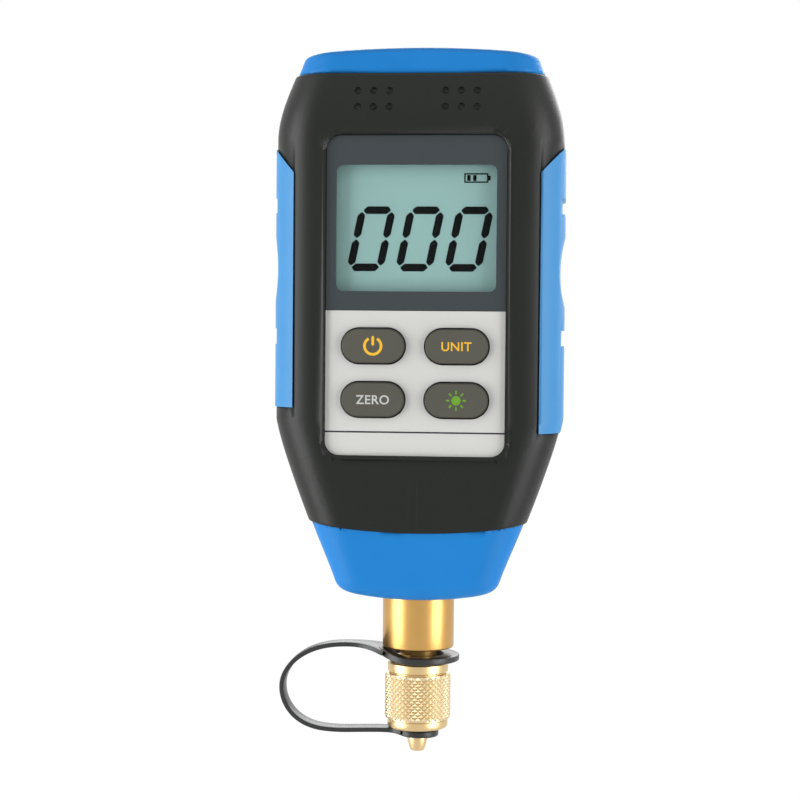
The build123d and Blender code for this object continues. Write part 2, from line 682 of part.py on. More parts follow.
with BuildPart() as keypad_mat:
    with BuildSketch(front_plane(-BOARD_FRONT)):
        with Locations((0, (KEY_UPPER_Z + KEY_LOWER_Z) / 2)):
            RectangleRounded(
                2 * KEY_X + KEY_LENGTH + MAT_MARGIN,
                KEY_UPPER_Z - KEY_LOWER_Z + KEY_WIDTH + MAT_MARGIN / 2,
                MAT_CORNER,
            )
        with Locations(*KEY_PLACES):
            SlotOverall(KEY_STEM_LENGTH + MAT_CLEARANCE, KEY_STEM_WIDTH + MAT_CLEARANCE, mode=Mode.SUBTRACT)
    extrude(amount=MAT_THICKNESS)
keypad_mat.part.label = "keypad_mat"
export_step(keypad_mat.part, "parts/keypad_mat.step")

with BuildPart() as main_board:
    with BuildSketch(front_plane(-BOARD_BACK)):
        with Locations((0, (BOARD_LOW + BOARD_HIGH) / 2)):
            RectangleRounded(BOARD_WIDTH, BOARD_HIGH - BOARD_LOW, BOARD_CORNER)
        with Locations(*POST_PLACES):
            Circle(BOARD_SCREW / 2 + 2 * SLIP, mode=Mode.SUBTRACT)
    extrude(amount=BOARD_THICKNESS)
main_board.part.label = "main_board"
export_step(main_board.part, "parts/main_board.step")

with BuildPart() as board_screws:
    with BuildSketch(front_plane(-BOARD_BACK)):
        with Locations(*POST_PLACES):
            Circle(BOARD_SCREW / 2)
    extrude(amount=BOARD_SCREW_LENGTH)
    with BuildSketch(front_plane(-BOARD_BACK)):
        with Locations(*POST_PLACES):
            Circle(BOARD_SCREW_HEAD / 2)
    extrude(amount=-BOARD_SCREW_HEAD_HEIGHT)
    with BuildSketch(front_plane(-BOARD_BACK + BOARD_SCREW_HEAD_HEIGHT)):
        with Locations(*POST_PLACES):
            Rectangle(BOARD_SCREW_HEAD * CROSS_REACH, BOARD_SCREW * CROSS_WIDTH)
            Rectangle(BOARD_SCREW * CROSS_WIDTH, BOARD_SCREW_HEAD * CROSS_REACH)
    extrude(amount=BOARD_SCREW_HEAD_HEIGHT * CROSS_DEPTH, mode=Mode.SUBTRACT)
board_screws.part.label = "board_screws"
export_step(board_screws.part, "parts/board_screws.step")

with BuildPart() as controller_chip:
    with BuildSketch(front_plane(-BOARD_BACK)):
        with Locations((0, WINDOW_Z)):
            Rectangle(CHIP_SIZE, CHIP_SIZE)
    extrude(amount=-CHIP_HEIGHT)
    chamfer(controller_chip.faces().sort_by(Axis.Y)[-1].edges(), CHIP_CHAMFER)
controller_chip.part.label = "controller_chip"
export_step(controller_chip.part, "parts/controller_chip.step")

with BuildPart() as buzzer:
    with BuildSketch(front_plane(-BOARD_BACK)):
        with Locations((BUZZER_X, PLATE_SPLIT_Z)):
            Circle(BUZZER_DIAMETER / 2)
    extrude(amount=-BUZZER_HEIGHT)
    with BuildSketch(front_plane(-BOARD_BACK + BUZZER_HEIGHT)):
        with Locations((BUZZER_X, PLATE_SPLIT_Z)):
            Circle(BUZZER_HOLE / 2)
    extrude(amount=BUZZER_HOLE_DEPTH, mode=Mode.SUBTRACT)
buzzer.part.label = "buzzer"
export_step(buzzer.part, "parts/buzzer.step")

with BuildPart() as case_screws:
    with BuildSketch(front_plane(CASE_SCREW_SEAT)):
        with Locations(*BOSS_PLACES):
            Circle(CASE_SCREW / 2)
    extrude(amount=CASE_SCREW_LENGTH)
    with BuildSketch(front_plane(CASE_SCREW_SEAT)):
        with Locations(*BOSS_PLACES):
            Circle(CASE_SCREW_HEAD / 2)
    extrude(amount=-CASE_SCREW_HEAD_HEIGHT)
    with BuildSketch(front_plane(CASE_SCREW_SEAT + CASE_SCREW_HEAD_HEIGHT)):
        with Locations(*BOSS_PLACES):
            Rectangle(CASE_SCREW_HEAD * CROSS_REACH, CASE_SCREW * CROSS_WIDTH)
            Rectangle(CASE_SCREW * CROSS_WIDTH, CASE_SCREW_HEAD * CROSS_REACH)
    extrude(amount=CASE_SCREW_HEAD_HEIGHT * CROSS_DEPTH, mode=Mode.SUBTRACT)
case_screws.part.label = "case_screws"
export_step(case_screws.part, "parts/case_screws.step")

CELL_LOW_Z = (BAY_LOW + BAY_HIGH - CELL_LENGTH - CELL_NUB_HEIGHT) / 2 + CELL_SHIFT
CELL_LOW_NUB_Z = CELL_LOW_Z - CELL_STAGGER
for cell_name, cell_x, upright in (("left_cell", -CELL_PITCH / 2, True), ("right_cell", CELL_PITCH / 2, False)):
    can_low = CELL_LOW_Z if upright else CELL_LOW_NUB_Z + CELL_NUB_HEIGHT
    with BuildPart() as cell:
        with BuildSketch(Plane.XY.offset(can_low)):
            with Locations((cell_x, CELL_AXIS_Y)):
                Circle(CELL_DIAMETER / 2)
        extrude(amount=CELL_LENGTH)
        chamfer(cell.edges().filter_by(GeomType.CIRCLE), CELL_CHAMFER)
        with BuildSketch(Plane.XY.offset(can_low + CELL_LENGTH if upright else can_low)):
            with Locations((cell_x, CELL_AXIS_Y)):
                Circle(CELL_NUB_DIAMETER / 2)
        extrude(amount=CELL_NUB_HEIGHT if upright else -CELL_NUB_HEIGHT)
    cell.part.label = cell_name
    export_step(cell.part, "parts/" + cell_name + ".step")

with BuildPart() as battery_contacts:
    # the long contact at the foot of the bay joins both cells
    with BuildSketch(Plane.XY.offset(BAY_LOW)):
        with Locations((0, CELL_AXIS_Y)):
            Rectangle(CELL_PITCH + CONTACT_WIDTH, CONTACT_WIDTH)
    extrude(amount=CONTACT_THICKNESS)
    # a short plate at the head for each cell, with a tail down to the board
    with BuildSketch(Plane.XY.offset(BAY_HIGH - CONTACT_THICKNESS)):
        for x in (-CELL_PITCH / 2, CELL_PITCH / 2):
            with Locations((x, CELL_AXIS_Y)):
                Rectangle(CONTACT_WIDTH, CONTACT_WIDTH)
    extrude(amount=CONTACT_THICKNESS)
    with BuildSketch(front_plane(CELL_AXIS_Y)):
        for x in (-CELL_PITCH / 2, CELL_PITCH / 2):
            with Locations((x, BAY_HIGH - CONTACT_THICKNESS / 2)):
                Rectangle(TAIL_WIDTH, CONTACT_THICKNESS)
    extrude(amount=CELL_AXIS_Y + BOARD_BACK - BOARD_GAP)
    # bent leaves press on the flat ends of the cells and on the nubs
    leaves = (
        (-CELL_PITCH / 2, BAY_LOW + CONTACT_THICKNESS, CELL_LOW_Z),
        (CELL_PITCH / 2, BAY_LOW + CONTACT_THICKNESS, CELL_LOW_NUB_Z),
        (-CELL_PITCH / 2, BAY_HIGH - CONTACT_THICKNESS, CELL_LOW_Z + CELL_LENGTH + CELL_NUB_HEIGHT),
        (CELL_PITCH / 2, BAY_HIGH - CONTACT_THICKNESS, CELL_LOW_NUB_Z + CELL_NUB_HEIGHT + CELL_LENGTH),
    )
    for leaf_x, root_z, tip_z in leaves:
        way = 1 if tip_z > root_z else -1
        tip = tip_z - way * LEAF_GAP
        root = root_z - way * CONTACT_THICKNESS / 2
        with BuildSketch(Plane(origin=(leaf_x, 0, 0), x_dir=(0, 1, 0), z_dir=(1, 0, 0))):
            with BuildLine():
                Polyline(
                    (CELL_AXIS_Y - LEAF_HALF_LENGTH, root),
                    (CELL_AXIS_Y - 0.8 * LEAF_HALF_LENGTH, root),
                    (CELL_AXIS_Y, tip - way * LEAF_THICKNESS),
                    (CELL_AXIS_Y + 0.7 * LEAF_HALF_LENGTH, root + way * LEAF_THICKNESS),
                    (CELL_AXIS_Y + 0.8 * LEAF_HALF_LENGTH, root + way * LEAF_THICKNESS),
                    (CELL_AXIS_Y, tip),
                    close=True,
                )
            make_face()
        extrude(amount=LEAF_WIDTH / 2, both=True)
battery_contacts.part.label = "battery_contacts"
export_step(battery_contacts.part, "parts/battery_contacts.step")

with BuildPart() as battery_door:
    with BuildSketch(front_plane(BODY_BACK)):
        with Locations((0, (DOOR_LOW + DOOR_HIGH) / 2)):
            RectangleRounded(DOOR_WIDTH, DOOR_HIGH - DOOR_LOW, DOOR_CORNER - DOOR_GAP)
    extrude(amount=DOOR_THICKNESS - SLIP)
    # thumb grooves near the head of the door
    with BuildSketch(front_plane(BODY_BACK)):
        with Locations((0, DOOR_HIGH - DOOR_GROOVE_DROP)):
            with GridLocations(1, DOOR_GROOVE_PITCH, 1, 4):
                SlotOverall(DOOR_GROOVE_LENGTH, DOOR_GROOVE_WIDTH)
    extrude(amount=DOOR_GROOVE_DEPTH, mode=Mode.SUBTRACT)
    # hooks reach under the shell at the foot of the door
    for side in (-1, 1):
        with BuildSketch(Plane(origin=(side * DOOR_HOOK_X, 0, 0), x_dir=(0, 1, 0), z_dir=(1, 0, 0))):
            with BuildLine():
                Polyline(
                    (BODY_BACK - DOOR_THICKNESS + 0.3, DOOR_LOW + 0.4),
                    (INNER_BACK - DOOR_GAP, DOOR_LOW + 0.4),
                    (INNER_BACK - DOOR_GAP, DOOR_LOW - DOOR_HOOK_REACH),
                    (INNER_BACK - DOOR_GAP - DOOR_HOOK_THICKNESS, DOOR_LOW - DOOR_HOOK_REACH + 0.3),
                    (INNER_BACK - DOOR_GAP - DOOR_HOOK_THICKNESS, DOOR_LOW + 1.2),
                    (BODY_BACK - DOOR_THICKNESS + 0.3, DOOR_LOW + 2.4),
                    close=True,
                )
            make_face()
        extrude(amount=DOOR_HOOK_WIDTH / 2, both=True)
battery_door.part.label = "battery_door"
export_step(battery_door.part, "parts/battery_door.step")

with BuildPart() as port_stem:
    with BuildSketch(Plane.XZ):
        with BuildLine():
            thread_r = THREAD_DIAMETER / 2
            nose_r = PORT_BORE / 2 + NOSE_LAND
            Polyline(
                (PORT_BORE / 2, 0),
                (nose_r, 0),
                (thread_r, thread_r - nose_r),
                (thread_r, NECK_LOW - NECK_BREAK),
                (thread_r - NECK_BREAK, NECK_LOW),
                (NECK_DIAMETER / 2, NECK_LOW),
                (NECK_DIAMETER / 2, COLLAR_LOW),
                (COLLAR_DIAMETER / 2 - EDGE_BREAK, COLLAR_LOW),
                (COLLAR_DIAMETER / 2, COLLAR_LOW + EDGE_BREAK),
                (COLLAR_DIAMETER / 2, COLLAR_HIGH),
                (SPIGOT_DIAMETER / 2, COLLAR_HIGH),
                (SPIGOT_DIAMETER / 2, STEM_TOP),
                (PORT_BORE / 2, STEM_TOP),
                close=True,
            )
        make_face()
    revolve(axis=Axis.Z)
port_stem.part.label = "port_stem"
export_step(port_stem.part, "parts/port_stem.step")

with BuildPart() as stem_ring:
    with BuildSketch(Plane.XZ):
        with Locations((RING_DIAMETER / 2, (COLLAR_HIGH + COUNTERBORE_TOP) / 2)):
            Circle(RING_SECTION / 2)
    revolve(axis=Axis.Z)
stem_ring.part.label = "stem_ring"
export_step(stem_ring.part, "parts/stem_ring.step")

with BuildPart() as stem_nut:
    with BuildSketch(Plane.XY.offset(FOOT_Z + BOOT_FLOOR)):
        RegularPolygon(NUT_FLATS / 2, 6, major_radius=False)
        Circle(SPIGOT_DIAMETER / 2 + SCREW_SLIP, mode=Mode.SUBTRACT)
    extrude(amount=NUT_HEIGHT)
stem_nut.part.label = "stem_nut"
export_step(stem_nut.part, "parts/stem_nut.step")

with BuildPart() as pressure_sensor:
    with BuildSketch(Plane.XZ):
        with BuildLine():
            Polyline(
                (0, STEM_TOP + SLIP),
                (SPIGOT_DIAMETER / 2 + SLIP, STEM_TOP + SLIP),
                (SPIGOT_DIAMETER / 2 + SLIP, SENSOR_LOW),
                (SENSOR_DIAMETER / 2, SENSOR_LOW),
                (SENSOR_DIAMETER / 2, SENSOR_TOP - SENSOR_STEP),
                (SENSOR_DIAMETER / 2 - SENSOR_STEP_WIDTH, SENSOR_TOP - SENSOR_STEP),
                (SENSOR_DIAMETER / 2 - SENSOR_STEP_WIDTH, SENSOR_TOP),
                (0, SENSOR_TOP),
                close=True,
            )
        make_face()
    revolve(axis=Axis.Z)
pressure_sensor.part.label = "pressure_sensor"
export_step(pressure_sensor.part, "parts/pressure_sensor.step")

with BuildPart() as sensor_ribbon:
    with BuildSketch(Plane.YZ):
        with BuildLine():
            near = -BOARD_BACK + BOARD_GAP
            half = RIBBON_THICKNESS / 2
            Polyline(
                (-half, SENSOR_TOP + BOARD_GAP),
                (half, SENSOR_TOP + BOARD_GAP),
                (half, SENSOR_TOP + 6),
                (near + 2 * half, BOARD_LOW + 1.0),
                (near + 2 * half, BOARD_LOW + 5.0),
                (near, BOARD_LOW + 5.0),
                (near, BOARD_LOW + 0.6),
                (-half, SENSOR_TOP + 5.6),
                close=True,
            )
        make_face()
    extrude(amount=RIBBON_WIDTH / 2, both=True)
sensor_ribbon.part.label = "sensor_ribbon"
export_step(sensor_ribbon.part, "parts/sensor_ribbon.step")

with BuildPart() as knurl_tooth:
    # one flat-topped diamond of the knurl, on the +X side
    tooth_height = 2 * (KNURL_HIGH - KNURL_LOW) / (KNURL_ROWS + 1)
    tooth_width = pi * CAP_KNURL_DIAMETER / KNURL_COUNT
    tooth_base = CAP_KNURL_DIAMETER / 2 - KNURL_HEIGHT - 0.1
    for share, radius in ((0.98, tooth_base), (0.30, CAP_KNURL_DIAMETER / 2)):
        with BuildSketch(Plane(origin=(radius, 0, 0), x_dir=(0, 1, 0), z_dir=(1, 0, 0))):
            with BuildLine():
                Polyline(
                    (-share * tooth_width / 2, 0),
                    (0, -share * tooth_height / 2),
                    (share * tooth_width / 2, 0),
                    (0, share * tooth_height / 2),
                    close=True,
                )
            make_face()
    loft()

with BuildPart() as port_cap:
    with BuildSketch(Plane.XZ):
        with BuildLine():
            band_r = CAP_BAND_DIAMETER / 2
            knurl_r = CAP_KNURL_DIAMETER / 2 - KNURL_HEIGHT
            bore_r = CAP_BORE_DIAMETER / 2
            Polyline(
                (0, CAP_BOTTOM + CAP_FLOOR),
                (bore_r, CAP_BOTTOM + CAP_FLOOR),
                (bore_r, CAP_TOP),
                (band_r - EDGE_BREAK, CAP_TOP),
                (band_r, CAP_TOP - EDGE_BREAK),
                (band_r, KNURL_HIGH + EDGE_BREAK + NUB_SHOULDER),
                (band_r - BAND_GROOVE, KNURL_HIGH + NUB_SHOULDER),
                (knurl_r, KNURL_HIGH),
                (knurl_r, KNURL_LOW),
                (band_r - BAND_GROOVE, KNURL_LOW - NUB_SHOULDER),
                (band_r, KNURL_LOW - EDGE_BREAK - NUB_SHOULDER),
                (band_r, CAP_BOTTOM + 2 * EDGE_BREAK),
                (band_r - 2 * EDGE_BREAK, CAP_BOTTOM),
                (NUB_GROOVE_DIAMETER / 2, CAP_BOTTOM),
                (NUB_GROOVE_DIAMETER / 2, CAP_BOTTOM - NUB_GROOVE_HEIGHT),
                (NUB_TOP_DIAMETER / 2, CAP_BOTTOM - NUB_GROOVE_HEIGHT - NUB_SHOULDER),
                (NUB_TOP_DIAMETER / 2, CAP_BOTTOM - NUB_GROOVE_HEIGHT - NUB_SHOULDER - NUB_HEAD),
                (NUB_TIP_DIAMETER / 2, NUB_TIP_Z + EDGE_BREAK),
                (NUB_TIP_DIAMETER / 2 - EDGE_BREAK, NUB_TIP_Z),
                (0, NUB_TIP_Z),
                close=True,
            )
        make_face()
    revolve(axis=Axis.Z)
    tooth_places = []
    for row in range(KNURL_ROWS):
        row_z = KNURL_LOW + (row + 1) * (KNURL_HIGH - KNURL_LOW) / (KNURL_ROWS + 1)
        for step in range(KNURL_COUNT):
            turn = 360 * (step + 0.5 * (row % 2)) / KNURL_COUNT
            tooth_places.append(Location((0, 0, row_z), (0, 0, turn)))
    with Locations(*tooth_places):
        add(knurl_tooth.part, clean=False)
port_cap.part.label = "port_cap"
export_step(port_cap.part, "parts/port_cap.step")

with BuildPart() as cap_seal:
    with BuildSketch(Plane.XY.offset(CAP_BOTTOM + CAP_FLOOR + SEAL_GAP)):
        Circle(SEAL_DIAMETER / 2)
    extrude(amount=-CAP_BOTTOM - CAP_FLOOR - 2 * SEAL_GAP)
cap_seal.part.label = "cap_seal"
export_step(cap_seal.part, "parts/cap_seal.step")

with BuildPart() as cap_strap:
    small_z = CAP_BOTTOM - NUB_GROOVE_HEIGHT / 2
    loop_r = (STRAP_TOP_Z - small_z) / 2
    loop_x = -STRAP_REACH + STRAP_THICKNESS / 2 + loop_r
    with BuildSketch(Plane.XY.offset(STRAP_RING_Z - STRAP_RING_THICKNESS / 2)):
        Circle(STRAP_RING_OUTER / 2)
        Circle(STRAP_RING_INNER / 2, mode=Mode.SUBTRACT)
    extrude(amount=STRAP_RING_THICKNESS)
    with BuildSketch(Plane.XY.offset(small_z - STRAP_SMALL_THICKNESS / 2)):
        Circle(STRAP_SMALL_OUTER / 2)
        Circle(NUB_GROOVE_DIAMETER / 2 + 2 * SLIP, mode=Mode.SUBTRACT)
    extrude(amount=STRAP_SMALL_THICKNESS)
    with BuildSketch(front_plane(0)):
        with BuildLine():
            TangentArc((loop_x, STRAP_TOP_Z), (-STRAP_RING_OUTER / 2 + STRAP_OVERLAP, STRAP_RING_Z), tangent=(1, 0))
            CenterArc((loop_x, STRAP_TOP_Z - loop_r), loop_r, 90, 180)
            Line((loop_x, small_z), (-STRAP_SMALL_OUTER / 2 + STRAP_OVERLAP, small_z))
        trace(line_width=STRAP_THICKNESS)
    extrude(amount=STRAP_WIDTH / 2, both=True)
cap_strap.part.label = "cap_strap"
export_step(cap_strap.part, "parts/cap_strap.step")
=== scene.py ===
"""Looks of the digital compound gauge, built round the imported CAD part. Metres; front faces -Y, Z is up."""

import json
import math

import bpy
import numpy
from mathutils import Matrix, Vector


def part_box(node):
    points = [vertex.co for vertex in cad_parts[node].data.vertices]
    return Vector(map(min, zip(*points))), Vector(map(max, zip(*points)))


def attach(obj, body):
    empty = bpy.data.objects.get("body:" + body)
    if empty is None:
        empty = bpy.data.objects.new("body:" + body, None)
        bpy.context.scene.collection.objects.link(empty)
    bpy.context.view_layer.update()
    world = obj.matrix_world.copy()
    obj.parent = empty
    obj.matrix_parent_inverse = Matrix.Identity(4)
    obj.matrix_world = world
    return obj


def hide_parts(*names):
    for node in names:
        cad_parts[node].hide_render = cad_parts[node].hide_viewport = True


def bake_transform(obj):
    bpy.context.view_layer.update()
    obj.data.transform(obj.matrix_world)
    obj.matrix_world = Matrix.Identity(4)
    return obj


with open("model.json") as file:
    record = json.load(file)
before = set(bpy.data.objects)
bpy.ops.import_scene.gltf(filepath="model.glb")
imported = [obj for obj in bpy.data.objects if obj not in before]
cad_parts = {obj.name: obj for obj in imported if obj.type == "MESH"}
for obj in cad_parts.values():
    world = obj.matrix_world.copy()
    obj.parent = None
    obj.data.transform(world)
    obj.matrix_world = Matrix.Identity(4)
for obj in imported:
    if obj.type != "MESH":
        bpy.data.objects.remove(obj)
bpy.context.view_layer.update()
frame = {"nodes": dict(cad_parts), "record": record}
nodes = frame["nodes"]
bodies = frame["record"]["behaviour"]["bodies"]
MM = 0.001

# lines drawn on the casing by its mould, in millimetres
WITNESS_X = (-1.1, 0.6)
WITNESS_LOW, WITNESS_HIGH = 41.0, 50.5
HAIRLINE_Z = 60.3
BROW_LOW, BROW_HIGH, BROW_REACH = 122.4, 132.3, 17.0
BROAD_FACE = 0.3e-6

# display, in millimetres from the middle of the window
DIGIT_PITCH = 9.97
FIRST_DIGIT_X = -9.3
DIGIT_Z = -2.1
DIGIT_HALF_WIDTH = 3.02
DIGIT_HALF_HEIGHT = 5.81
DIGIT_STROKE = 1.56
DIGIT_SLANT = 0.204
BATTERY_X, BATTERY_Z = 12.0, 10.25
BATTERY_LENGTH, BATTERY_HEIGHT, BATTERY_LINE = 4.9, 1.95, 0.28

# keys and their legends, in millimetres
KEY_X = 8.5
KEYS_Z, KEY_ROW = 72.35, 5.45
KEY_RADIUS, KEY_HALF_RUN = 3.55, 2.9
LEGEND_DEPTH = 0.02
POWER_RADIUS = 1.69
POWER_STROKE = 0.55
WORD_HEIGHT = 1.85
LAMP_RADIUS = 0.95

# knurled cap, in millimetres
CAP_MOUTH, CAP_FOOT = 11.5, -2.5
KNURL_ROUND = 32
KNURL_ROWS = 8
KNURL_VALLEY, KNURL_PEAK = 6.6, 7.0
KNURL_LOW, KNURL_HIGH = -0.5, 9.0
BAND_RADIUS = 6.35
NUB_WIDE, NUB_NARROW = 2.15, 1.6

# brass port, in millimetres
THREAD_PITCH = 1.27
THREAD_LOW, THREAD_HIGH = 2.2, 10.7
THREAD_ROOT, THREAD_CREST = 4.95, 5.5
COLLAR_RADIUS, COLLAR_LOW, COLLAR_HIGH = 7.5, 14.5, 26.6
NECK_RADIUS = 3.9
SPIGOT_RADIUS, SPIGOT_TOP = 5.0, 36.5
BORE_RADIUS = 2.4

# strap, in millimetres
STRAP_WIDTH, STRAP_THICKNESS = 4.2, 0.95
RING_OUTER, RING_INNER, RING_THICKNESS = 8.7, 5.3, 1.3
SMALL_OUTER, SMALL_INNER, SMALL_THICKNESS = 4.45, 1.85, 1.3
STRAP_LINE = (
    (0.0, 12.45), (-1.5, 12.45), (-4.0, 12.8), (-7.0, 13.75), (-10.5, 14.65), (-14.5, 14.9), (-19.0, 14.6),
    (-23.2, 13.3), (-26.6, 10.9), (-28.6, 7.8), (-28.9, 4.6), (-27.8, 1.3), (-25.3, -1.4), (-21.7, -3.0),
    (-17.0, -3.4), (-12.0, -3.2), (-7.0, -3.05), (-4.0, -3.2), (-2.0, -3.5), (0.0, -3.55),
)


# shader maths
class Signal:
    """A value that runs through a material: arithmetic on it adds the Math nodes."""

    def __init__(self, finish, socket):
        self.finish = finish
        self.socket = socket

    def math(self, operation, *values):
        return self.finish.node("ShaderNodeMath", {"operation": operation}, *values)

    def __add__(self, other):
        return self.math("ADD", self, other)

    def __sub__(self, other):
        return self.math("SUBTRACT", self, other)

    def __mul__(self, other):
        return self.math("MULTIPLY", self, other)

    def __truediv__(self, other):
        return self.math("DIVIDE", self, other)

    def __radd__(self, other):
        return self.math("ADD", other, self)

    def __rsub__(self, other):
        return self.math("SUBTRACT", other, self)

    def __rmul__(self, other):
        return self.math("MULTIPLY", other, self)

    def __abs__(self):
        return self.math("ABSOLUTE", self)

    def __lt__(self, other):
        return self.math("LESS_THAN", self, other)

    def __gt__(self, other):
        return self.math("GREATER_THAN", self, other)


class Finish:
    """One procedural material, with its shader's plain values set by name."""

    def __init__(self, name, **values):
        self.material = bpy.data.materials.new(name)
        self.material.use_nodes = True
        self.tree = self.material.node_tree
        self.shader = self.tree.nodes["Principled BSDF"]
        for socket, value in values.items():
            self.set(socket.replace("_", " "), value)

    def set(self, socket, value):
        target = self.shader.inputs[socket]
        if isinstance(value, Signal):
            self.tree.links.new(value.socket, target)
        elif isinstance(value, tuple) and len(value) == 3:
            target.default_value = (*value, 1.0)
        else:
            target.default_value = value
        return self

    def node(self, kind, settings=None, *values, out=0, **named):
        """Adds a node: its settings first, then the values or links of its sockets."""
        made = self.tree.nodes.new(kind)
        for key, value in (settings or {}).items():
            setattr(made, key, value)
        sockets = list(enumerate(values)) + [(key.replace("_", " "), value) for key, value in named.items()]
        for key, value in sockets:
            target = made.inputs[key]
            if isinstance(value, Signal):
                self.tree.links.new(value.socket, target)
            elif target.type == "RGBA" and len(value) == 3:
                target.default_value = (*value, 1.0)
            else:
                target.default_value = value
        return Signal(self, made.outputs[out])

    def place(self):
        """Position on the object, in metres."""
        return self.node("ShaderNodeTexCoord", out="Object")

    def axes(self):
        """The position's X, Y and Z, in millimetres."""
        split = self.node("ShaderNodeSeparateXYZ", None, self.place())
        return [Signal(self, split.socket.node.outputs[i]) * 1000.0 for i in range(3)]

    def noise(self, scale, detail=3.0, roughness=0.5, stretch=(1, 1, 1)):
        place = self.node("ShaderNodeMapping", None, Vector=self.place(), Scale=stretch)
        return self.node("ShaderNodeTexNoise", None, Vector=place, Scale=scale, Detail=detail, Roughness=roughness)

    def line(self, value, middle, half):
        """1 on a line where value is within half of middle, and 0 off it."""
        return abs(value - middle) < half

    def blend(self, share, low, high):
        """A colour between low and high."""
        mixed = self.node("ShaderNodeMix", {"data_type": "RGBA"})
        mix = mixed.socket.node
        for index, value in ((0, share), (6, low), (7, high)):
            if isinstance(value, Signal):
                self.tree.links.new(value.socket, mix.inputs[index])
            else:
                mix.inputs[index].default_value = (*value, 1.0) if isinstance(value, tuple) else value
        return Signal(self, mix.outputs[2])

    def bump(self, height, distance, strength=1.0):
        self.set("Normal", self.node("ShaderNodeBump", None, Height=height, Distance=distance, Strength=strength))
        return self


def tone(red, green, blue):
    """A display colour, 0 to 255, as the linear light that the shader takes."""
    return tuple(((c / 255 + 0.055) / 1.055) ** 2.4 if c > 10 else c / 255 / 12.92 for c in (red, green, blue))


# finishes
def moulded_black():
    """Fine spark-eroded black casing, with the mould's faint lines on its lower front and sides."""
    finish = Finish("moulded_black", Specular_IOR_Level=0.26)
    x, y, z = finish.axes()
    grain = finish.noise(5200.0, 2.0, 0.6)
    wear = finish.noise(60.0, 3.0)
    lines = finish.line(x, WITNESS_X[0], 0.09) + finish.line(x, WITNESS_X[1], 0.09)
    witness = lines * (z > WITNESS_LOW) * (z < WITNESS_HIGH) * (y < -5.0)
    parting = finish.line(y, 0.0, 0.07)
    worn = finish.blend(wear, tone(15, 18, 15), tone(20, 23, 19))
    finish.set("Base Color", finish.blend(witness * 0.35 + parting * 0.5, worn, tone(14, 14, 13)))
    finish.set("Roughness", 0.36 + wear * 0.08)
    return finish.bump(grain - witness * 0.8 - parting * 2.0, 0.00004, 0.6)


def satin_rubber(name, colour, deep, roughness, gloss=0.4):
    """Satin rubber with a little cloud in its colour."""
    finish = Finish(name, Specular_IOR_Level=gloss)
    cloud = finish.noise(90.0, 3.0)
    grain = finish.noise(4200.0, 2.0, 0.6)
    finish.set("Base Color", finish.blend(cloud, deep, colour))
    finish.set("Roughness", roughness + cloud * 0.10)
    return finish.bump(grain, 0.00003, 0.5)


def key_rubber():
    """Grey-olive key rubber, with painted shade darkening each key's edge where it rolls off into its gap."""
    finish = Finish("key_rubber", Specular_IOR_Level=0.3)
    x, y, z = finish.axes()
    # painted shade: a band round each key's edge is darkened to stand for the shadow in its gap
    along = finish.node("ShaderNodeMath", {"operation": "MAXIMUM"}, abs(abs(x) - KEY_X) - KEY_HALF_RUN, 0.0)
    across = abs(abs(z - KEYS_Z) - KEY_ROW)
    reach = finish.node("ShaderNodeMath", {"operation": "SQRT"}, along * along + across * across)
    painted_gap_shade = (reach > KEY_RADIUS - 0.30) + (reach > KEY_RADIUS - 0.12)
    cloud = finish.noise(90.0, 3.0)
    grain = finish.noise(4200.0, 2.0, 0.6)
    worn = finish.blend(cloud, tone(74, 73, 64), tone(81, 80, 72))
    finish.set("Base Color", finish.blend(painted_gap_shade * 0.42, worn, tone(30, 30, 27)))
    finish.set("Roughness", 0.50 + cloud * 0.1)
    return finish.bump(grain, 0.00003, 0.5)


def turned_brass(name, colour, deep, roughness, paler=None):
    """Brass with the fine rings that turning leaves and a little stain, paler on the knurl where asked."""
    finish = Finish(name, Metallic=1.0)
    rings = finish.noise(900.0, 2.0, 0.7, (0.02, 0.02, 6.0))
    stain = finish.noise(260.0, 3.0)
    shade = finish.blend(stain, deep, colour)
    if paler:
        x, y, z = finish.axes()
        shade = finish.blend((z > KNURL_LOW) * (z < KNURL_HIGH), shade, paler)
    finish.set("Base Color", shade)
    finish.set("Roughness", roughness + rings * 0.10)
    return finish.bump(rings, 0.00001, 0.4)


def printed_sheet(name, colour, roughness, hairline=False):
    """A printed or moulded flat sheet with a fine grain, and one fine dark line where asked."""
    finish = Finish(name, Specular_IOR_Level=0.4)
    grain = finish.noise(2500.0, 2.0, 0.6)
    cloud = finish.noise(70.0, 3.0)
    shade = finish.blend(cloud, tuple(c * 0.95 for c in colour), colour)
    if hairline:
        x, y, z = finish.axes()
        shade = finish.blend(finish.line(z, HAIRLINE_Z, 0.17), shade, tone(52, 54, 54))
    finish.set("Base Color", shade)
    finish.set("Roughness", roughness + grain * 0.06)
    return finish.bump(grain, 0.00001, 0.3)


def plain_metal(name, colour, roughness):
    """Plated steel or a drawn can, lightly brushed."""
    finish = Finish(name, Metallic=1.0)
    brushed = finish.noise(1400.0, 2.0, 0.6, (1.0, 1.0, 0.05))
    finish.set("Base Color", finish.blend(brushed, tuple(c * 0.86 for c in colour), colour))
    finish.set("Roughness", roughness + brushed * 0.12)
    return finish.bump(brushed, 0.00001, 0.4)


def legend_ink(name, colour, gloss=0.3):
    """Printed ink, a little uneven."""
    finish = Finish(name, Specular_IOR_Level=gloss, Roughness=0.5)
    uneven = finish.noise(1800.0, 2.0)
    return finish.set("Base Color", finish.blend(uneven, tuple(c * 0.86 for c in colour), colour))


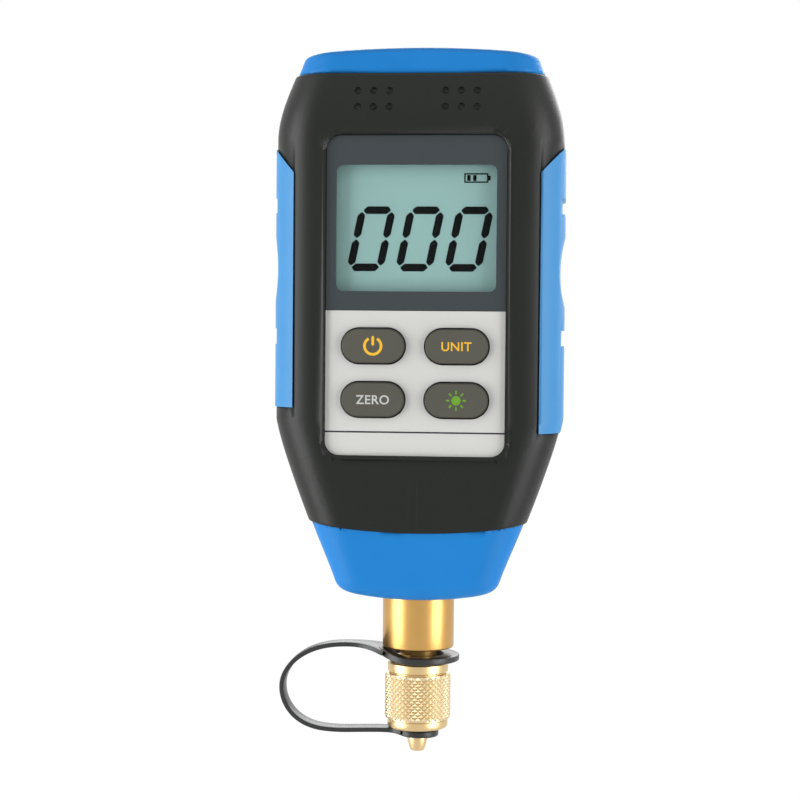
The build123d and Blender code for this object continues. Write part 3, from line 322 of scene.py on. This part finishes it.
BLACK = moulded_black()
BOOT = satin_rubber("boot_blue", tone(32, 126, 200), tone(22, 119, 193), 0.42, 0.18)
GRIP = satin_rubber("grip_blue", tone(68, 140, 196), tone(56, 131, 188), 0.42, 0.30)
SLATE = printed_sheet("slate_frame", tone(48, 55, 58), 0.30)
SILVER = printed_sheet("silver_plate", tone(204, 204, 201), 0.40, hairline=True)
GUIDE = printed_sheet("light_guide", tone(225, 228, 226), 0.4)
LCD = printed_sheet("lcd_face", tone(153, 194, 190), 0.45)
KEY = key_rubber()
BRASS = turned_brass("turned_brass", tone(202, 160, 96), tone(190, 148, 84), 0.27)
CAP_BRASS = turned_brass("cap_brass", tone(220, 194, 146), tone(208, 180, 130), 0.28, paler=tone(216, 196, 158))
STRAP = satin_rubber("strap_rubber", tone(40, 41, 41), tone(34, 35, 35), 0.30)
STEEL = plain_metal("screw_steel", tone(170, 170, 168), 0.32)
CAN = plain_metal("cell_can", tone(176, 178, 182), 0.28)
BOARD = printed_sheet("board_green", tone(30, 110, 60), 0.40)
DARK = printed_sheet("chip_black", tone(28, 28, 28), 0.50)
DIGIT = legend_ink("digit_black", tone(6, 10, 10), 0.03)
AMBER = legend_ink("amber_ink", tone(240, 186, 50))
PALE = legend_ink("pale_ink", tone(196, 198, 196))
GREEN = legend_ink("green_ink", tone(104, 156, 42))
LENS = Finish("clear_lens", Base_Color=(0.02, 0.02, 0.02), Roughness=0.06, IOR=1.49, Alpha=0.06)

DRESS = {
    "front_shell": BLACK, "rear_shell": BLACK, "battery_door": BLACK,
    "bottom_boot": BOOT, "top_cap": BOOT, "left_grip": GRIP, "right_grip": GRIP,
    "display_frame": SLATE, "keypad_fascia": SILVER, "display_lens": LENS, "lcd_panel": LCD,
    "backlight_plate": GUIDE, "power_key": KEY, "unit_key": KEY, "zero_key": KEY, "light_key": KEY,
    "keypad_mat": KEY, "main_board": BOARD, "board_screws": STEEL, "controller_chip": DARK, "buzzer": DARK,
    "case_screws": STEEL, "left_cell": CAN, "right_cell": CAN, "battery_contacts": STEEL,
    "port_stem": BRASS, "stem_nut": BRASS, "stem_ring": STRAP, "pressure_sensor": CAN,
    "sensor_ribbon": GUIDE, "port_cap": CAP_BRASS, "cap_seal": STRAP, "cap_strap": STRAP,
}


# modelling
def work_on(piece, kind="FACE"):
    """Opens one piece in edit mode with nothing selected on it."""
    bpy.ops.object.select_all(action="DESELECT")
    bpy.context.view_layer.objects.active = piece
    piece.select_set(True)
    bpy.ops.object.mode_set(mode="EDIT")
    bpy.ops.mesh.select_mode(type=kind)
    bpy.ops.mesh.select_all(action="DESELECT")


def leave():
    bpy.ops.object.mode_set(mode="OBJECT")


def pick(piece, kind, wanted):
    """Opens a piece with those vertices, edges or faces selected whose middle is wanted."""
    work_on(piece, kind)
    leave()
    mesh = piece.data
    if kind == "VERT":
        for point in mesh.vertices:
            point.select = wanted(point.co / MM)
    elif kind == "EDGE":
        for edge in mesh.edges:
            start, end = (mesh.vertices[index].co for index in edge.vertices)
            edge.select = wanted((start + end) / 2 / MM)
    else:
        for face in mesh.polygons:
            face.select = wanted(face.center / MM)
    bpy.ops.object.mode_set(mode="EDIT")


def whole(piece):
    """Opens a piece with all of it selected."""
    work_on(piece)
    bpy.ops.mesh.select_all(action="SELECT")


def settle(piece):
    """Applies a piece's place, turn and size to its mesh."""
    bpy.ops.object.select_all(action="DESELECT")
    bpy.context.view_layer.objects.active = piece
    piece.select_set(True)
    bpy.ops.object.transform_apply(location=True, rotation=True, scale=True)


def shift(piece, x=0.0, y=0.0, z=0.0):
    """Moves all of a piece's mesh, in millimetres."""
    whole(piece)
    bpy.ops.transform.translate(value=(x * MM, y * MM, z * MM))
    leave()


def turn(piece, degrees, axis, centre=(0, 0, 0)):
    """Turns all of a piece's mesh about an axis."""
    piece.data.transform(
        Matrix.Translation(Vector(centre) * MM)
        @ Matrix.Rotation(math.radians(degrees), 4, axis)
        @ Matrix.Translation(-Vector(centre) * MM)
    )


def copy_of(piece, name):
    """A second piece of the same shape with its own mesh."""
    made = bpy.data.objects.new(name, piece.data.copy())
    bpy.context.scene.collection.objects.link(made)
    return made


def joined(pieces, name):
    """Several meshes as one piece."""
    bpy.ops.object.select_all(action="DESELECT")
    for piece in pieces:
        piece.select_set(True)
    bpy.context.view_layer.objects.active = pieces[0]
    bpy.ops.object.join()
    pieces[0].name = name
    return pieces[0]


def modify(piece, kind, **settings):
    """Adds a modifier and applies it."""
    bpy.ops.object.select_all(action="DESELECT")
    bpy.context.view_layer.objects.active = piece
    piece.select_set(True)
    modifier = piece.modifiers.new(kind.lower(), kind)
    for key, value in settings.items():
        setattr(modifier, key, value)
    bpy.ops.object.modifier_apply(modifier=modifier.name)


def smooth(piece, degrees=32.0):
    bpy.ops.object.select_all(action="DESELECT")
    bpy.context.view_layer.objects.active = piece
    piece.select_set(True)
    bpy.ops.object.shade_smooth_by_angle(angle=math.radians(degrees))


def outward(piece):
    """Merges doubles and turns every face outwards."""
    whole(piece)
    bpy.ops.mesh.remove_doubles(threshold=0.000002)
    bpy.ops.mesh.normals_make_consistent(inside=False)
    leave()


def dress(piece, finish, body):
    """Gives a finished piece its finish and lets it ride on a body."""
    piece.data.materials.clear()
    piece.data.materials.append(finish.material)
    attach(piece, body)
    return piece


def body_of(node):
    return next(body for body, members in bodies.items() if node in members)


def bar(name, length, height, depth, cut=0.0):
    """A flat bar in the XZ plane whose four upright corners are cut off."""
    bpy.ops.object.select_all(action="DESELECT")
    bpy.ops.mesh.primitive_cube_add(size=MM)
    piece = bpy.context.object
    piece.name = name
    piece.scale = (length, depth, height)
    settle(piece)
    if cut:
        corner = (length / 2 * 0.98, height / 2 * 0.98)
        pick(piece, "EDGE", lambda p: abs(p.x) > corner[0] and abs(p.z) > corner[1])
        bpy.ops.mesh.bevel(offset=cut * MM, segments=1, affect="EDGES")
        leave()
    return piece


def turned(name, rows, steps=96):
    """A turned piece: a ring at the first radius and height, extruded and resized to each further row."""
    radius, height = rows[0]
    bpy.ops.object.select_all(action="DESELECT")
    bpy.ops.mesh.primitive_circle_add(vertices=steps, radius=radius * MM, location=(0, 0, height * MM))
    piece = bpy.context.object
    piece.name = name
    settle(piece)
    whole(piece)
    for next_radius, next_height in rows[1:]:
        rise = (next_height - height) * MM
        bpy.ops.mesh.extrude_edges_move(TRANSFORM_OT_translate={"value": (0, 0, rise)})
        ratio = next_radius / radius
        bpy.ops.transform.resize(value=(ratio, ratio, 1), center_override=(0, 0, next_height * MM))
        radius, height = next_radius, next_height
    leave()
    outward(piece)
    return piece


# the casing: the CAD pieces with their seams closed, so that the curved walls shade smoothly
def closed_copy(node, degrees=32.0):
    """A CAD node's own shape as one closed skin that shades smoothly between its real edges."""
    piece = bpy.data.objects.new(node + "_skin", nodes[node].data.copy())
    bpy.context.scene.collection.objects.link(piece)
    whole(piece)
    bpy.ops.mesh.remove_doubles(threshold=0.000001)
    leave()
    smooth(piece, degrees)
    modify(piece, "WEIGHTED_NORMAL", mode="FACE_AREA", weight=50, keep_sharp=True)
    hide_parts(node)
    return piece


def calm_brow(piece):
    """Shades the brow round its dimples as the one smooth curve that it is."""
    mesh = piece.data
    faces = [face for face in mesh.polygons if face.center.y < -0.010 and brow_share(face.center / MM) > 0]
    broad = [face for face in faces if face.normal.y < -0.9 and face.area > BROAD_FACE]
    points = numpy.array([mesh.vertices[index].co[:] for face in broad for index in face.vertices]) / MM

    def terms(x, z):
        z = (z - BROW_LOW) / 10
        return numpy.array([z ** 0, z, z ** 2, z ** 3, x ** 2 / 500, x ** 4 / 250000, x ** 2 * z / 500])

    kept = points
    for _ in range(4):
        shares = numpy.linalg.lstsq(terms(kept[:, 0], kept[:, 2]).T, kept[:, 1], rcond=None)[0]
        error = numpy.abs(points[:, 1] - shares @ terms(points[:, 0], points[:, 2]))
        kept = points[error < max(0.03, numpy.percentile(error, 60))]
    normals = [corner.vector.copy() for corner in mesh.corner_normals]
    for face in faces:
        places = [mesh.vertices[index].co / MM for index in face.vertices]
        if max(abs(place.y - shares @ terms(place.x, place.z)) for place in places) > 0.07:
            continue
        for corner, (x, y, z) in zip(face.loop_indices, places):
            here = shares @ terms(x, z)
            slope_x = (shares @ terms(x + 0.01, z) - here) / 0.01
            slope_z = (shares @ terms(x, z + 0.01) - here) / 0.01
            curve = Vector((slope_x, -1, slope_z)).normalized()
            normals[corner] = normals[corner].lerp(curve, brow_share(Vector((x, y, z)))).normalized()
    mesh.normals_split_custom_set(normals)


def brow_share(place):
    """How far a place is within the brow: 0 at its border and 1 from two millimetres inside."""
    inside = min(BROW_REACH - abs(place.x), place.z - BROW_LOW, BROW_HIGH - place.z)
    return max(0.0, min(1.0, inside / 2.0))


def casing():
    for node in ("front_shell", "rear_shell", "bottom_boot", "top_cap", "left_grip", "right_grip", "battery_door"):
        skin = dress(closed_copy(node), DRESS[node], body_of(node))
        if node == "front_shell":
            calm_brow(skin)
    for node in ("power_key", "unit_key", "zero_key", "light_key"):
        dress(closed_copy(node), DRESS[node], body_of(node))


# brass port
def port_stem():
    """The turned port: flare nose, real thread, neck, collar and spigot, bored through."""
    nose = BORE_RADIUS + 0.7
    stem = turned("port_stem_turned", (
        (BORE_RADIUS, SPIGOT_TOP), (BORE_RADIUS, 0.0), (nose, 0.0), (THREAD_ROOT, THREAD_ROOT - nose),
        (THREAD_ROOT, 11.0), (THREAD_ROOT - 0.2, 11.2), (NECK_RADIUS, 11.2), (NECK_RADIUS, COLLAR_LOW),
        (COLLAR_RADIUS - 0.5, COLLAR_LOW), (COLLAR_RADIUS - 0.15, COLLAR_LOW + 0.12),
        (COLLAR_RADIUS, COLLAR_LOW + 0.45), (COLLAR_RADIUS, COLLAR_HIGH - 0.2), (COLLAR_RADIUS - 0.2, COLLAR_HIGH),
        (SPIGOT_RADIUS, COLLAR_HIGH), (SPIGOT_RADIUS, SPIGOT_TOP - 0.3), (SPIGOT_RADIUS - 0.3, SPIGOT_TOP),
        (BORE_RADIUS, SPIGOT_TOP),
    ), 128)
    modify(stem, "BEVEL", width=0.00006, segments=2, limit_method="ANGLE", angle_limit=math.radians(30))
    smooth(stem, 32.0)
    bpy.ops.object.select_all(action="DESELECT")
    bpy.ops.mesh.primitive_plane_add(size=MM, rotation=(math.pi / 2, 0, 0))
    tooth = bpy.context.object
    tooth.name = "port_thread"
    tooth.scale = (THREAD_CREST - THREAD_ROOT + 0.2, THREAD_PITCH * 0.86, 1)
    tooth.location = ((THREAD_ROOT - 0.2 + THREAD_CREST) / 2 * MM, 0, THREAD_LOW * MM)
    settle(tooth)
    pick(tooth, "VERT", lambda p: p.x > THREAD_CREST - 0.1)
    bpy.ops.transform.resize(value=(1, 1, 0.16), center_override=(0, 0, THREAD_LOW * MM))
    bpy.ops.mesh.select_all(action="SELECT")
    bpy.ops.mesh.delete(type="ONLY_FACE")
    leave()
    turns = int((THREAD_HIGH - THREAD_LOW) / THREAD_PITCH)
    modify(tooth, "SCREW", screw_offset=THREAD_PITCH * MM, iterations=turns, steps=48, render_steps=48, axis="Z",
           use_merge_vertices=True, merge_threshold=0.00001)
    outward(tooth)
    smooth(tooth, 30.0)
    stem = joined([stem, tooth], "port_stem_turned")
    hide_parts("port_stem")
    dress(stem, BRASS, "housing")


# display
def digit_zero(name):
    """One figure of the display: six cut bars round an empty middle, slanted."""
    upright = (DIGIT_HALF_HEIGHT + DIGIT_STROKE / 2) - 0.25
    flat = bar(name, 2 * DIGIT_HALF_WIDTH - 0.55, DIGIT_STROKE, 0.02, DIGIT_STROKE * 0.42)
    tall = bar(name + "_tall", DIGIT_STROKE, upright - 1.15, 0.02, DIGIT_STROKE * 0.42)
    bars = []
    for side in (-1, 1):
        level = copy_of(flat, name + "_bar")
        shift(level, z=side * DIGIT_HALF_HEIGHT)
        bars.append(level)
        for half in (-1, 1):
            post = copy_of(tall, name + "_post")
            shift(post, x=side * DIGIT_HALF_WIDTH, z=half * DIGIT_HALF_HEIGHT * 0.48)
            bars.append(post)
    bpy.data.objects.remove(flat)
    bpy.data.objects.remove(tall)
    piece = joined(bars, name)
    slant = Matrix.Identity(4)
    slant[0][2] = DIGIT_SLANT
    piece.data.transform(slant)
    return piece


def battery_sign(name):
    """Outline of a battery with two bars of charge."""
    bpy.ops.object.select_all(action="DESELECT")
    bpy.ops.mesh.primitive_plane_add(size=MM, rotation=(math.pi / 2, 0, 0))
    outline = bpy.context.object
    outline.scale = (BATTERY_LENGTH, BATTERY_HEIGHT, 1)
    settle(outline)
    whole(outline)
    bpy.ops.mesh.inset(thickness=BATTERY_LINE * MM)
    bpy.ops.mesh.delete(type="FACE")
    leave()
    modify(outline, "SOLIDIFY", thickness=0.02 * MM, offset=0.0)
    outward(outline)
    tip = bar(name + "_tip", 0.5, BATTERY_HEIGHT * 0.5, 0.02, 0.1)
    shift(tip, x=BATTERY_LENGTH / 2 + 0.2)
    parts = [outline, tip]
    for step in range(2):
        charge = bar(name + "_charge", 0.7, BATTERY_HEIGHT - 2.7 * BATTERY_LINE, 0.02, 0.05)
        shift(charge, x=-BATTERY_LENGTH / 2 + 0.95 + step * 1.2)
        parts.append(charge)
    return joined(parts, name)


def display():
    low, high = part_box("display_lens")
    middle_x = (low.x + high.x) / 2 / MM
    middle_z = (low.z + high.z) / 2 / MM
    glass_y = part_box("lcd_panel")[0].y / MM - 0.02
    digits = []
    for place in range(3):
        digit = digit_zero("digit_%d" % (place + 1))
        shift(digit, middle_x + FIRST_DIGIT_X + place * DIGIT_PITCH, glass_y, middle_z + DIGIT_Z)
        dress(digit, DIGIT, "housing")
    sign = battery_sign("battery_sign")
    shift(sign, middle_x + BATTERY_X, glass_y, middle_z + BATTERY_Z)
    dress(sign, DIGIT, "housing")


# key legends
def word(name, letters, height):
    """A printed word in the XZ plane, its middle at the origin."""
    bpy.ops.object.select_all(action="DESELECT")
    bpy.ops.object.text_add()
    piece = bpy.context.object
    piece.name = name
    piece.data.body = letters
    piece.data.size = height * MM / 0.72
    piece.data.offset = height * MM * 0.018
    piece.data.extrude = LEGEND_DEPTH / 2 * MM
    piece.data.space_character = 1.06
    bpy.ops.object.convert(target="MESH")
    piece = bpy.context.object
    turn(piece, 90, "X")
    points = [point.co for point in piece.data.vertices]
    middle = [(min(p[i] for p in points) + max(p[i] for p in points)) / 2 / MM for i in range(3)]
    shift(piece, -middle[0], -middle[1], -middle[2])
    outward(piece)
    return piece


def power_sign(name):
    """A ring open at its top with a short bar in the gap."""
    bpy.ops.object.select_all(action="DESELECT")
    bpy.ops.mesh.primitive_torus_add(
        major_radius=POWER_RADIUS * MM, minor_radius=POWER_STROKE / 2 * MM, major_segments=72, minor_segments=12,
        rotation=(math.pi / 2, 0, 0),
    )
    ring = bpy.context.object
    ring.scale = (1, 1, LEGEND_DEPTH / POWER_STROKE)
    settle(ring)
    pick(ring, "FACE", lambda p: p.z > 0 and abs(p.x) < p.z * 0.62)
    bpy.ops.mesh.delete(type="FACE")
    bpy.ops.mesh.select_all(action="SELECT")
    bpy.ops.mesh.fill_holes(sides=0)
    leave()
    outward(ring)
    stem = bar(name + "_stem", POWER_STROKE, POWER_RADIUS * 1.15, LEGEND_DEPTH, POWER_STROKE * 0.3)
    shift(stem, z=POWER_RADIUS * 0.62)
    return joined([ring, stem], name)


def lamp_sign(name):
    """A small lamp: a disc with eight short rays."""
    bpy.ops.object.select_all(action="DESELECT")
    bpy.ops.mesh.primitive_cylinder_add(
        vertices=48, radius=LAMP_RADIUS * MM, depth=LEGEND_DEPTH * MM, rotation=(math.pi / 2, 0, 0)
    )
    disc = bpy.context.object
    settle(disc)
    parts = [disc]
    ray = bar(name + "_ray", 0.34, 0.75, LEGEND_DEPTH, 0.1)
    for step in range(8):
        made = copy_of(ray, name + "_ray_%d" % step)
        shift(made, z=LAMP_RADIUS + 0.72)
        turn(made, 45.0 * step, "Y")
        parts.append(made)
    bpy.data.objects.remove(ray)
    return joined(parts, name)


def legends():
    signs = {
        "power_key": (power_sign("power_sign"), AMBER),
        "unit_key": (word("unit_word", "UNIT", WORD_HEIGHT), AMBER),
        "zero_key": (word("zero_word", "ZERO", WORD_HEIGHT), PALE),
        "light_key": (lamp_sign("lamp_sign"), GREEN),
    }
    for key, (sign, ink) in signs.items():
        low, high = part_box(key)
        shift(sign, (low.x + high.x) / 2 / MM, low.y / MM, (low.z + high.z) / 2 / MM)
        dress(sign, ink, body_of(key))


# brass cap
def knurled_cap():
    """The turned cap with its bore, bands, groove and nub, and a diamond knurl round its middle."""
    top, bottom, tip = CAP_MOUTH, CAP_FOOT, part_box("port_cap")[0].z / MM
    body = turned("cap_body", (
        (0.05, bottom + 1.3), (5.6, bottom + 1.3), (5.6, top - 0.35), (5.85, top), (BAND_RADIUS - 0.35, top),
        (BAND_RADIUS, top - 0.35), (BAND_RADIUS, KNURL_HIGH + 0.5), (BAND_RADIUS - 0.1, KNURL_HIGH + 0.4),
        (BAND_RADIUS - 0.5, KNURL_HIGH + 0.34), (BAND_RADIUS - 0.5, KNURL_HIGH + 0.04),
        (KNURL_VALLEY - 0.02, KNURL_HIGH), (KNURL_VALLEY - 0.02, KNURL_LOW), (BAND_RADIUS - 0.2, KNURL_LOW - 0.05),
        (BAND_RADIUS, KNURL_LOW - 0.3), (BAND_RADIUS, bottom + 0.6), (BAND_RADIUS - 0.2, bottom + 0.2),
        (BAND_RADIUS - 0.6, bottom), (1.7, bottom), (1.7, tip + 3.15), (NUB_WIDE - 0.1, tip + 3.1),
        (NUB_WIDE, tip + 3.0), (NUB_WIDE, tip + 2.5), (NUB_NARROW, tip + 0.5), (NUB_NARROW - 0.12, tip + 0.2),
        (NUB_NARROW - 0.4, tip), (0.05, tip),
    ), 120)
    modify(body, "BEVEL", width=0.00005, segments=2, limit_method="ANGLE", angle_limit=math.radians(35))
    smooth(body, 40.0)
    columns = 2 * KNURL_ROUND
    rows = 2 * KNURL_ROWS
    step_z = (KNURL_HIGH - KNURL_LOW) / rows
    band = turned("cap_knurl", [(KNURL_VALLEY, KNURL_LOW + step_z * row) for row in range(rows + 1)], columns)

    def is_peak(point):
        column = round(math.atan2(point.y, point.x) / (2 * math.pi) * columns)
        row = round((point.z - KNURL_LOW) / step_z)
        return 0 < row < rows and (column + row) % 2 == 0

    pick(band, "VERT", is_peak)
    lift = KNURL_PEAK / KNURL_VALLEY
    bpy.ops.transform.resize(value=(lift, lift, 1), center_override=(0, 0, 0))
    leave()
    whole(band)
    bpy.ops.mesh.quads_convert_to_tris(quad_method="SHORTEST_DIAGONAL")
    leave()
    pick(band, "VERT", lambda p: math.hypot(p.x, p.y) > (KNURL_PEAK + KNURL_VALLEY) / 2)
    bpy.ops.mesh.bevel(offset=0.00014, affect="VERTICES")
    leave()
    cap = joined([body, band], "knurled_cap")
    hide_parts("port_cap")
    dress(cap, CAP_BRASS, "port_cap")


# strap
def strap():
    """Ring, strap and small ring, moulded flat along X and then bent along the strap's line."""
    line = bpy.data.curves.new("strap_line", "CURVE")
    line.dimensions = "2D"
    line.resolution_u = 24
    spline = line.splines.new("NURBS")
    spline.points.add(len(STRAP_LINE) - 1)
    for point, (x, z) in zip(spline.points, STRAP_LINE):
        point.co = (x * MM, z * MM, 0, 1)
    spline.order_u = 3
    spline.use_endpoint_u = True
    path = bpy.data.objects.new("strap_line", line)
    bpy.context.scene.collection.objects.link(path)
    bpy.context.view_layer.update()
    length = spline.calc_length() / MM

    def ring(name, outer, inner, thickness, x):
        edge = thickness * 0.2
        half = thickness / 2
        made = turned(name, (
            (inner + edge, half), (outer - edge, half), (outer - edge * 0.3, half - edge * 0.3), (outer, half - edge),
            (outer, edge - half), (outer - edge * 0.3, edge * 0.3 - half), (outer - edge, -half), (inner + edge, -half),
            (inner, edge - half), (inner, half - edge), (inner + edge, half),
        ), 96)
        turn(made, 90, "X")
        shift(made, x=x)
        return made

    big = ring("strap_ring", RING_OUTER, RING_INNER, RING_THICKNESS, 0.0)
    small = ring("strap_eye", SMALL_OUTER, SMALL_INNER, SMALL_THICKNESS, length)
    start, end = RING_OUTER - 1.6, length - SMALL_OUTER + 1.2
    band = bar("strap_band", end - start, STRAP_WIDTH, STRAP_THICKNESS)
    shift(band, x=(start + end) / 2)
    pick(band, "EDGE", lambda p: abs(p.x - (start + end) / 2) < 0.1)
    bpy.ops.mesh.subdivide(number_cuts=95)
    leave()
    for side, centre, reach, swell in ((1, start, 8.0, 1.9), (-1, end, 3.0, 0.7)):
        for column in range(40):
            x = start + (end - start) * (column if side > 0 else 96 - column) / 96
            away = abs(x - centre)
            if away < reach:
                factor = 1 + swell * (1 - away / reach) ** 2
                pick(band, "VERT", lambda p, x=x: abs(p.x - x) < 0.02)
                bpy.ops.transform.resize(value=(1, 1, factor), center_override=(0, 0, 0))
                leave()
    pick(band, "EDGE", lambda p: abs(p.y) > STRAP_THICKNESS * 0.45 and abs(p.z) > STRAP_WIDTH * 0.45)
    bpy.ops.mesh.bevel(offset=0.00012, segments=2, affect="EDGES")
    leave()
    for other in (big, small):
        modify(band, "BOOLEAN", operation="UNION", object=other, solver="EXACT")
        bpy.data.objects.remove(other)
    modify(band, "CURVE", object=path, deform_axis="POS_X")
    bpy.data.objects.remove(path)
    turn(band, 90, "X")
    outward(band)
    smooth(band, 40.0)
    band.name = "strap"
    band.data.materials.clear()
    band.data.materials.append(STRAP.material)
    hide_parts("cap_strap")
    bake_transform(band)


for node_name, node_finish in DRESS.items():
    node_mesh = nodes[node_name].data
    node_mesh.materials.clear()
    node_mesh.materials.append(node_finish.material)
casing()
display()
legends()
port_stem()
knurled_cap()
strap()


# stage, lights and camera
def seen_directly(tree):
    """1 for what the camera, a glossy surface or clear plastic sees, and 0 for the light itself."""
    rays = tree.nodes.new("ShaderNodeLightPath")
    share = rays.outputs["Is Camera Ray"]
    for way in ("Is Glossy Ray", "Is Transmission Ray"):
        larger = tree.nodes.new("ShaderNodeMath")
        larger.operation = "MAXIMUM"
        tree.links.new(share, larger.inputs[0])
        tree.links.new(rays.outputs[way], larger.inputs[1])
        share = larger.outputs[0]
    return share


def white_card(name):
    """A white floor that keeps a trace of the shadow on it."""
    finish = Finish(name, Roughness=0.9)
    cloud = finish.noise(3.0, 2.0)
    finish.set("Base Color", finish.blend(cloud, (0.78, 0.78, 0.78), (0.82, 0.82, 0.82)))
    glow = finish.node("ShaderNodeEmission", None, Color=(1.0, 1.0, 1.0), Strength=1.10)
    share = Signal(finish, seen_directly(finish.tree)) * 0.90
    mixed = finish.node("ShaderNodeMixShader", None, share, Signal(finish, finish.shader.outputs[0]), glow)
    finish.tree.links.new(mixed.socket, finish.tree.nodes["Material Output"].inputs["Surface"])
    return finish


bpy.ops.object.select_all(action="DESELECT")
bpy.ops.mesh.primitive_plane_add(size=6.0, location=(0, 0, -0.30))
floor = bpy.context.object
floor.name = "floor"
settle(floor)
floor.data.materials.append(white_card("floor_white").material)

world = bpy.data.worlds.new("studio")
bpy.context.scene.world = world
world.use_nodes = True
sky = world.node_tree
ground = sky.nodes["Background"]
ground.inputs["Color"].default_value = (1, 1, 1, 1)
lift = sky.nodes.new("ShaderNodeMath")
lift.operation = "MULTIPLY_ADD"
lift.inputs[1].default_value = 0.82
lift.inputs[2].default_value = 0.18
sky.links.new(seen_directly(sky), lift.inputs[0])
sky.links.new(lift.outputs[0], ground.inputs["Strength"])


def softbox(name, place, aim, width, height, power):
    light = bpy.data.lights.new(name, "AREA")
    light.shape = "RECTANGLE"
    light.size = width
    light.size_y = height
    light.energy = power
    lamp = bpy.data.objects.new(name, light)
    bpy.context.scene.collection.objects.link(lamp)
    lamp.location = place
    lamp.rotation_mode = "QUATERNION"
    lamp.rotation_quaternion = (Vector(place) - Vector(aim)).to_track_quat("Z", "Y")
    return lamp


CENTRE = (0, 0, 0.07)
softbox("back_softbox", (0.10, 0.60, 0.40), CENTRE, 0.70, 0.50, 3.5)
softbox("left_softbox", (-0.57, -0.26, 0.06), CENTRE, 0.38, 0.80, 5.5)
softbox("right_softbox", (0.58, -0.24, 0.06), CENTRE, 0.36, 0.80, 4.5)
softbox("top_softbox", (0.0, -0.36, 0.72), CENTRE, 0.60, 0.40, 0.9)

AIM = Vector((-4.3, 0, 66.4)) * MM
TURN, TILT, LEAN = math.radians(5.65), math.radians(2.0), math.radians(0.5)
DISTANCE, PIXELS_PER_METRE = 0.400, 4757.0
back = Vector((math.sin(TURN) * math.cos(TILT), -math.cos(TURN) * math.cos(TILT), math.sin(TILT)))
right = (-back).cross(Vector((0, 0, 1))).normalized()
up = right.cross(-back)
leant_right = right * math.cos(LEAN) + up * math.sin(LEAN)
leant_up = up * math.cos(LEAN) - right * math.sin(LEAN)
lens = bpy.data.cameras.new("photo_camera")
lens.sensor_width = 36.0
lens.lens = 36.0 * PIXELS_PER_METRE * DISTANCE / 800
camera = bpy.data.objects.new("photo_camera", lens)
bpy.context.scene.collection.objects.link(camera)
facing = Matrix((leant_right, leant_up, back)).transposed().to_4x4()
camera.matrix_world = Matrix.Translation(AIM + back * DISTANCE) @ facing
bpy.context.scene.camera = camera
bpy.context.scene.view_settings.view_transform = "Standard"
